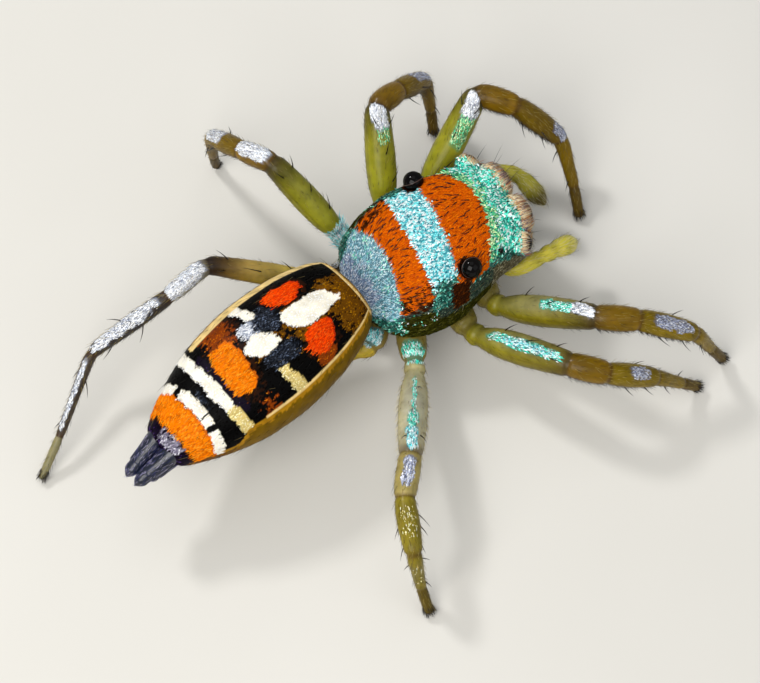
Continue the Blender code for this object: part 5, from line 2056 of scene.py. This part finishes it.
@dataclass
class Palp:
    """One palp in a single skin, with its hairs."""

    side: Side
    joints: tuple
    base_tone: str
    tip_tone: str
    hair_density: float = 230.0

    def build(self, shop: Workshop) -> None:
        """Build the palp.

        Args:
            shop: Makes the pieces.
        """
        path = SmoothPath(list(self.joints), 0.14)
        marks = [mark / path.length for mark in path.marks]
        radii = ((0.0, 0.15), (marks[1] * 0.6, 0.17), (marks[1], 0.14), (marks[1] + 0.12, 0.165),
                 (marks[2] - 0.02, 0.15), (marks[2] + 0.02, 0.13), (marks[2] + 0.10, 0.165), (marks[3], 0.15),
                 (marks[3] + 0.05, 0.18), (marks[3] + 0.16, 0.195), (1.0, 0.11))
        surface = Lobe(path, radii, start_cap=0.02, end_cap=0.10)
        name, draw = f"palp_{self.side.word}", shop.draw
        skin = surface.skin(shop, f"{name}_skin", "leg_cuticle", self.tints, 110, 30)
        shop.fit(skin, "limb", f"{name}_base", f"{name}_tip")
        along, around = surface.scatter(self.hair_density, draw, 80, 30)
        keep = np.flatnonzero(draw.random(len(along)) < 0.15 + 0.85 * along)
        along, around = along[keep], around[keep]
        tints = np.where(draw.random((len(keep), 1)) < 0.75, tone("D8D2AC"), tone("4A3A18"))
        hairs = Hairs.on(surface, along, around, tints, 28.0, 0.2, draw)
        Strand(0.16, 0.0038, rings=3, size_jitter=0.4).grow(
            shop, f"{name}_hairs", "fine_hairs", "limb", hairs)

    def tints(self, along: Array, around: Array, points: Array) -> Array:
        """Give the palp's yellow, which turns to another tone at its tip.

        Args:
            along: Readings from 0 to 1.
            around: Readings from 0 to 1.
            points: The points there.

        Returns:
            One linear colour a row.
        """
        colour = tone(self.base_tone) * (1 + 0.2 * soft_noise(points, 0.15, 51)[:, None])
        end = (smooth_step(0.78, 0.96, along) * 0.85)[:, None]
        return np.clip(colour * (1 - end) + tone(self.tip_tone) * end, 0, 1)


PALPS = (
    Palp(Side.LEFT, ((0.42, -0.92, 1.08), (0.95, -1.20, 1.28), (1.02, -1.95, 1.36), (0.70, -2.25, 1.30),
                     (0.03, -2.44, 1.02)), "B0A83E", "4A3A14"),
    Palp(Side.RIGHT, ((-0.42, -0.92, 1.08), (-0.98, -1.02, 1.24), (-1.05, -1.60, 1.34), (-1.03, -1.95, 1.30),
                      (-0.98, -2.52, 1.08)), "CCC046", "D0C87A"),
)


@dataclass
class Underside:
    """Sternum, soft flank, mouth plates, jaws and waist."""

    shop: Workshop
    chelicera_top: tuple = (0.31, -1.44, 1.60)
    chelicera_tip: tuple = (0.30, -1.62, 0.78)
    plates: tuple = (("labium_skin", (0.0, -0.88, 1.06), (0.15, 0.21, 0.13), "5A4418"),
                     ("endite_left_skin", (0.25, -1.06, 1.08), (0.19, 0.30, 0.17), "8A7430"),
                     ("endite_right_skin", (-0.25, -1.06, 1.08), (0.19, 0.30, 0.17), "8A7430"))

    def build(self) -> None:
        """Build every piece of the underside."""
        sternum = Ball(leaned(np.array((0.0, 0.55, 1.08))), (0.50, 1.15, 0.22))
        self.cover(sternum, "sternum_skin", "6E5A22", 60, 48, "sternum")
        flank = Ball(leaned(np.array((0.0, 0.25, 1.29))), (0.92, 1.48, 0.24))
        self.cover(flank, "flank_skin", "4A4020", 60, 48)
        for number, (name, centre, half, code) in enumerate(self.plates):
            plate = Ball(leaned(np.array(centre)), half)
            self.cover(plate, name, code, 30, 30, *(("mouthparts",) if number == 0 else ()))
        for side in Side:
            self.jaw(side)
        self.waist()
        self.pale_hairs("sternum_hairs", sternum, 60.0, 1.0)

    def cover(self, surface: Surface, name: str, code: str, rows: int, columns: int, *nodes: str) -> None:
        """Give a surface its plain skin.

        Args:
            surface: The surface.
            name: Name of the piece.
            code: Its colour.
            rows: Rings of points along it.
            columns: Points in each ring.
            nodes: The solids that it replaces, if any.
        """
        skin = surface.skin(self.shop, name, "jaw_cuticle", plain_tint(code), rows, columns)
        self.shop.fit(skin, "mouth", *nodes)

    def pale_hairs(self, name: str, surface: Surface, density: float, pale: float) -> None:
        """Grow sparse hairs, of which a share is pale and the rest is brown.

        Args:
            name: Name of the piece.
            surface: What they grow on.
            density: How many a square millimetre.
            pale: The share that is pale.
        """
        draw = self.shop.draw
        along, around = surface.scatter(density, draw, 40, 30)
        tints = np.where(draw.random((len(along), 1)) < pale, tone("D8CFA8"), tone("3A2810"))
        hairs = Hairs.on(surface, along, around, tints, 30.0, 0.15, draw)
        Strand(0.16, 0.0045, rings=3).grow(self.shop, name, "fine_hairs", "mouth", hairs)

    def jaw(self, side: Side) -> None:
        """Make one jaw with its fang and its hairs.

        Args:
            side: Which side it is on.
        """
        top = leaned(np.array(self.chelicera_top) * (side.value, 1, 1))
        tip = leaned(np.array(self.chelicera_tip) * (side.value, 1, 1))
        path = SmoothPath([top, (top + tip) / 2 + (0, -0.03, 0), tip], 0.2)
        jaw = Lobe(path, ((0.0, 0.22), (0.2, 0.255), (0.55, 0.245), (0.85, 0.19), (1.0, 0.13)), (0, -1, 0),
                   start_cap=0.12, end_cap=0.16)
        name = f"chelicera_{side.word}"
        self.cover(jaw, f"{name}_skin", "6A4416", 50, 36, name)
        middle = np.array((0.5,))
        fang = Hairs(np.array([tip + (0, 0, 0.10)]), unit(np.array(((-0.70 * side.value, 0.35, -0.62),))),
                     np.array(((0.0, 0.15, -0.12),)), tone("1A0804")[None], middle, middle)
        Strand(0.42, 0.05, sides=12, rings=12, size_jitter=0.0).grow(
            self.shop, f"{name}_fang", "dark_spines", "mouth", fang)
        self.pale_hairs(f"{name}_hairs", jaw, 140.0, 0.6)

    def waist(self) -> None:
        """Make the short waist with its rings."""
        path = SmoothPath([(-0.08, 1.30, 1.30), (-0.10, 1.80, 1.42), (-0.20, 2.60, 1.76)], 0.2)
        stations = [(step / 12, 0.20 + 0.03 * (step % 2)) for step in range(13)]
        self.cover(Lobe(path, tuple(stations)), "pedicel_skin", "4A3A1A", 60, 30, "pedicel")


@dataclass
class RearBody:
    """The abdomen with its coat, and the spinnerets at its end."""

    shop: Workshop
    shape: Abdomen = field(default_factory=Abdomen)
    spinnerets: tuple = (
        ("upper", (0.22, -0.25, 0.10), (0.12, 0.74, -0.16), (0.21, 0.165, 0.06)),
        ("lower", (0.20, -0.25, -0.22), (0.12, 0.46, -0.42), (0.165, 0.13, 0.06)),
    )
    hair_density: float = 22.0
    brush_density: float = 1000.0
    # Dark navy brush tones, with blue-violet and pale lilac ones that paint its sheen.
    brush_tones_and_glints: tuple = ("080C20", "0C1220", "142046", "101A34", "54549A", "24345E", "D8D0F8")

    def build(self) -> None:
        """Build every piece of the rear body."""
        skin = self.shape.skin(self.shop, "abdomen_skin", "body_cuticle", self.shape.tints, 260, 280)
        self.shop.fit(skin, "abdomen", "abdomen")
        dress(self.shop, self.shape, "abdomen_scales", ABDOMEN_STYLES, "abdomen")
        self.long_hairs()
        for level, base, tip, radii in self.spinnerets:
            for side in Side:
                self.spinneret(level, side, base, tip, radii)

    def long_hairs(self) -> None:
        """Grow the sparse longer hairs that stand off the abdomen, but not on its white patches."""
        draw = self.shop.draw
        along, around = self.shape.scatter(self.hair_density, draw)
        kind = self.shape.hues(self.shape.place(along, around))
        pale = np.isin(kind, numbers(Hue.CREAM, Hue.STRAW))
        along, around = along[~pale], around[~pale]
        tints = np.where(draw.random((len(along), 1)) < 0.8, tone("140E0A"), tone("7A6A40"))
        hairs = Hairs.on(self.shape, along, around, tints, 16.0, 0.1, draw)
        Strand(0.19, 0.0038, rings=4, size_jitter=0.4).grow(
            self.shop, "abdomen_hairs", "fine_hairs", "abdomen", hairs)

    def spinneret(self, level: str, side: Side, base: tuple, tip: tuple, radii: tuple) -> None:
        """Make one spinneret of two joints, with the brush of hairs on it.

        Args:
            level: upper or lower.
            side: Which side it is on.
            base: Its root from the abdomen's rear end: across, along and upward.
            tip: Its tip, measured the same way.
            radii: Its radius at the root, the middle and the tip.
        """
        draw = self.shop.draw
        front, axis, across, upward = self.shape.axes()
        ends = [front + axis + across * (-x * side.value) + unit(axis) * y + upward * z
                for x, y, z in (base, tip)]
        path = SmoothPath([ends[0], (ends[0] + ends[1]) / 2, ends[1]], 0.1)
        start, middle, end = radii
        lobe = Lobe(path, ((0.0, start), (0.45, middle), (0.68, middle * 0.93), (0.73, middle * 0.80),
                           (0.82, middle * 0.78), (1.0, end)), start_cap=0.04, end_cap=0.12)
        name = f"spinneret_{level}_{side.word}"
        skin = lobe.skin(self.shop, f"{name}_skin", "jaw_cuticle", plain_tint("10182C"), 60, 36)
        self.shop.fit(skin, "spinneret", name)
        along, around = lobe.scatter(self.brush_density, draw, 60, 30)
        keep = np.flatnonzero(along > 0.2)
        # A share of the hairs takes the pale tones, which paint the brush's sheen.
        shades = np.array([tone(code) for code in self.brush_tones_and_glints])
        tints = shades[draw.integers(len(shades), size=len(keep))] * draw.uniform(0.7, 1.2, (len(keep), 1))
        hairs = Hairs.on(lobe, along[keep], around[keep], np.clip(tints, 0, 1), 3.5, 0.03, draw)
        Strand(0.085, 0.0034, rings=2, size_jitter=0.35).grow(
            self.shop, f"{name}_hairs", "fine_hairs", "spinneret", hairs)


@dataclass
class Studio:
    """Camera, floor and lights.

    Each lamp has its azimuth, elevation, distance, size, power and colour.
    """

    target: tuple = (-1.127, 2.006, 1.5)
    azimuth: float = -120.1
    elevation: float = 64.0
    distance: float = 39.8
    lens: float = 100.0
    floor_half: float = 900.0
    room_tone: tuple = (0.86, 0.90, 0.95, 1.0)
    room_strength: float = 0.34
    lamps: tuple = (
        ("key_light", -150.0, 48.0, 70.0, 55.0, 0.046, (1.0, 0.98, 0.95)),
        ("fill_light", -60.0, 40.0, 90.0, 80.0, 0.012, (0.95, 0.98, 1.0)),
        ("top_light", 60.0, 72.0, 80.0, 50.0, 0.005, (1.0, 1.0, 1.0)),
        ("catch_light", 108.0, 49.0, 60.0, 8.0, 0.013, (1.0, 1.0, 1.0)))

    def build(self, shop: Workshop) -> None:
        """Set up the studio.

        Args:
            shop: Makes the floor.
        """
        scene = bpy.context.scene
        scene.view_settings.view_transform = "Standard"
        aim = Vector(np.array(self.target) * MM + shop.shift)
        back = self.way(self.azimuth, self.elevation)
        camera = bpy.data.objects.new("camera", bpy.data.cameras.new("camera"))
        camera.data.lens = self.lens
        camera.data.clip_start = 0.001
        camera.location = aim + back * self.distance * MM
        camera.rotation_euler = back.to_track_quat("Z", "Y").to_euler()
        scene.collection.objects.link(camera)
        scene.camera = camera
        for name, *settings in self.lamps:
            self.lamp(name, aim, *settings)
        world = bpy.data.worlds.new("soft_room")
        world.use_nodes = True
        glow = world.node_tree.nodes["Background"]
        glow.inputs["Color"].default_value = self.room_tone
        glow.inputs["Strength"].default_value = self.room_strength
        scene.world = world
        half = self.floor_half
        points = np.array(((-half, -half, 0), (half, -half, 0), (half, half, 0), (-half, half, 0)), float)
        floor = shop.piece("floor", points, np.array(((0, 1, 2), (0, 2, 3))), "pale_floor")

    @staticmethod
    def way(azimuth: float, elevation: float) -> Vector:
        """Give the direction from the spider toward a place on the dome round it."""
        turn, rise = math.radians(azimuth), math.radians(elevation)
        return Vector((math.sin(turn) * math.cos(rise), -math.cos(turn) * math.cos(rise), math.sin(rise)))

    def lamp(self, name: str, aim: Vector, azimuth: float, elevation: float, distance: float, size: float,
             power: float, colour: tuple) -> None:
        """Hang one soft square light.

        Args:
            name: Name of the light.
            aim: What it points at.
            azimuth: Degrees round the spider.
            elevation: Degrees above the floor.
            distance: Millimetres from what it points at.
            size: Millimetres across.
            power: Watts.
            colour: Linear colour.
        """
        data = bpy.data.lights.new(name, "AREA")
        data.size = size * MM
        data.energy = power
        data.color = colour
        light = bpy.data.objects.new(name, data)
        back = self.way(azimuth, elevation)
        light.location = aim + back * distance * MM
        light.rotation_euler = back.to_track_quat("Z", "Y").to_euler()
        bpy.context.scene.collection.objects.link(light)


def main() -> None:
    """Build the spider's looks."""
    logging.basicConfig(level=logging.INFO, format="%(message)s")
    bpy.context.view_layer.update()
    shop = Workshop.open()
    Studio().build(shop)
    Head(shop).build()
    Underside(shop).build()
    for palp in PALPS:
        palp.build(shop)
    RearBody(shop).build()
    for stance in STANCES:
        Leg(shop, stance).build()


if __name__ == "__main__":
    main()
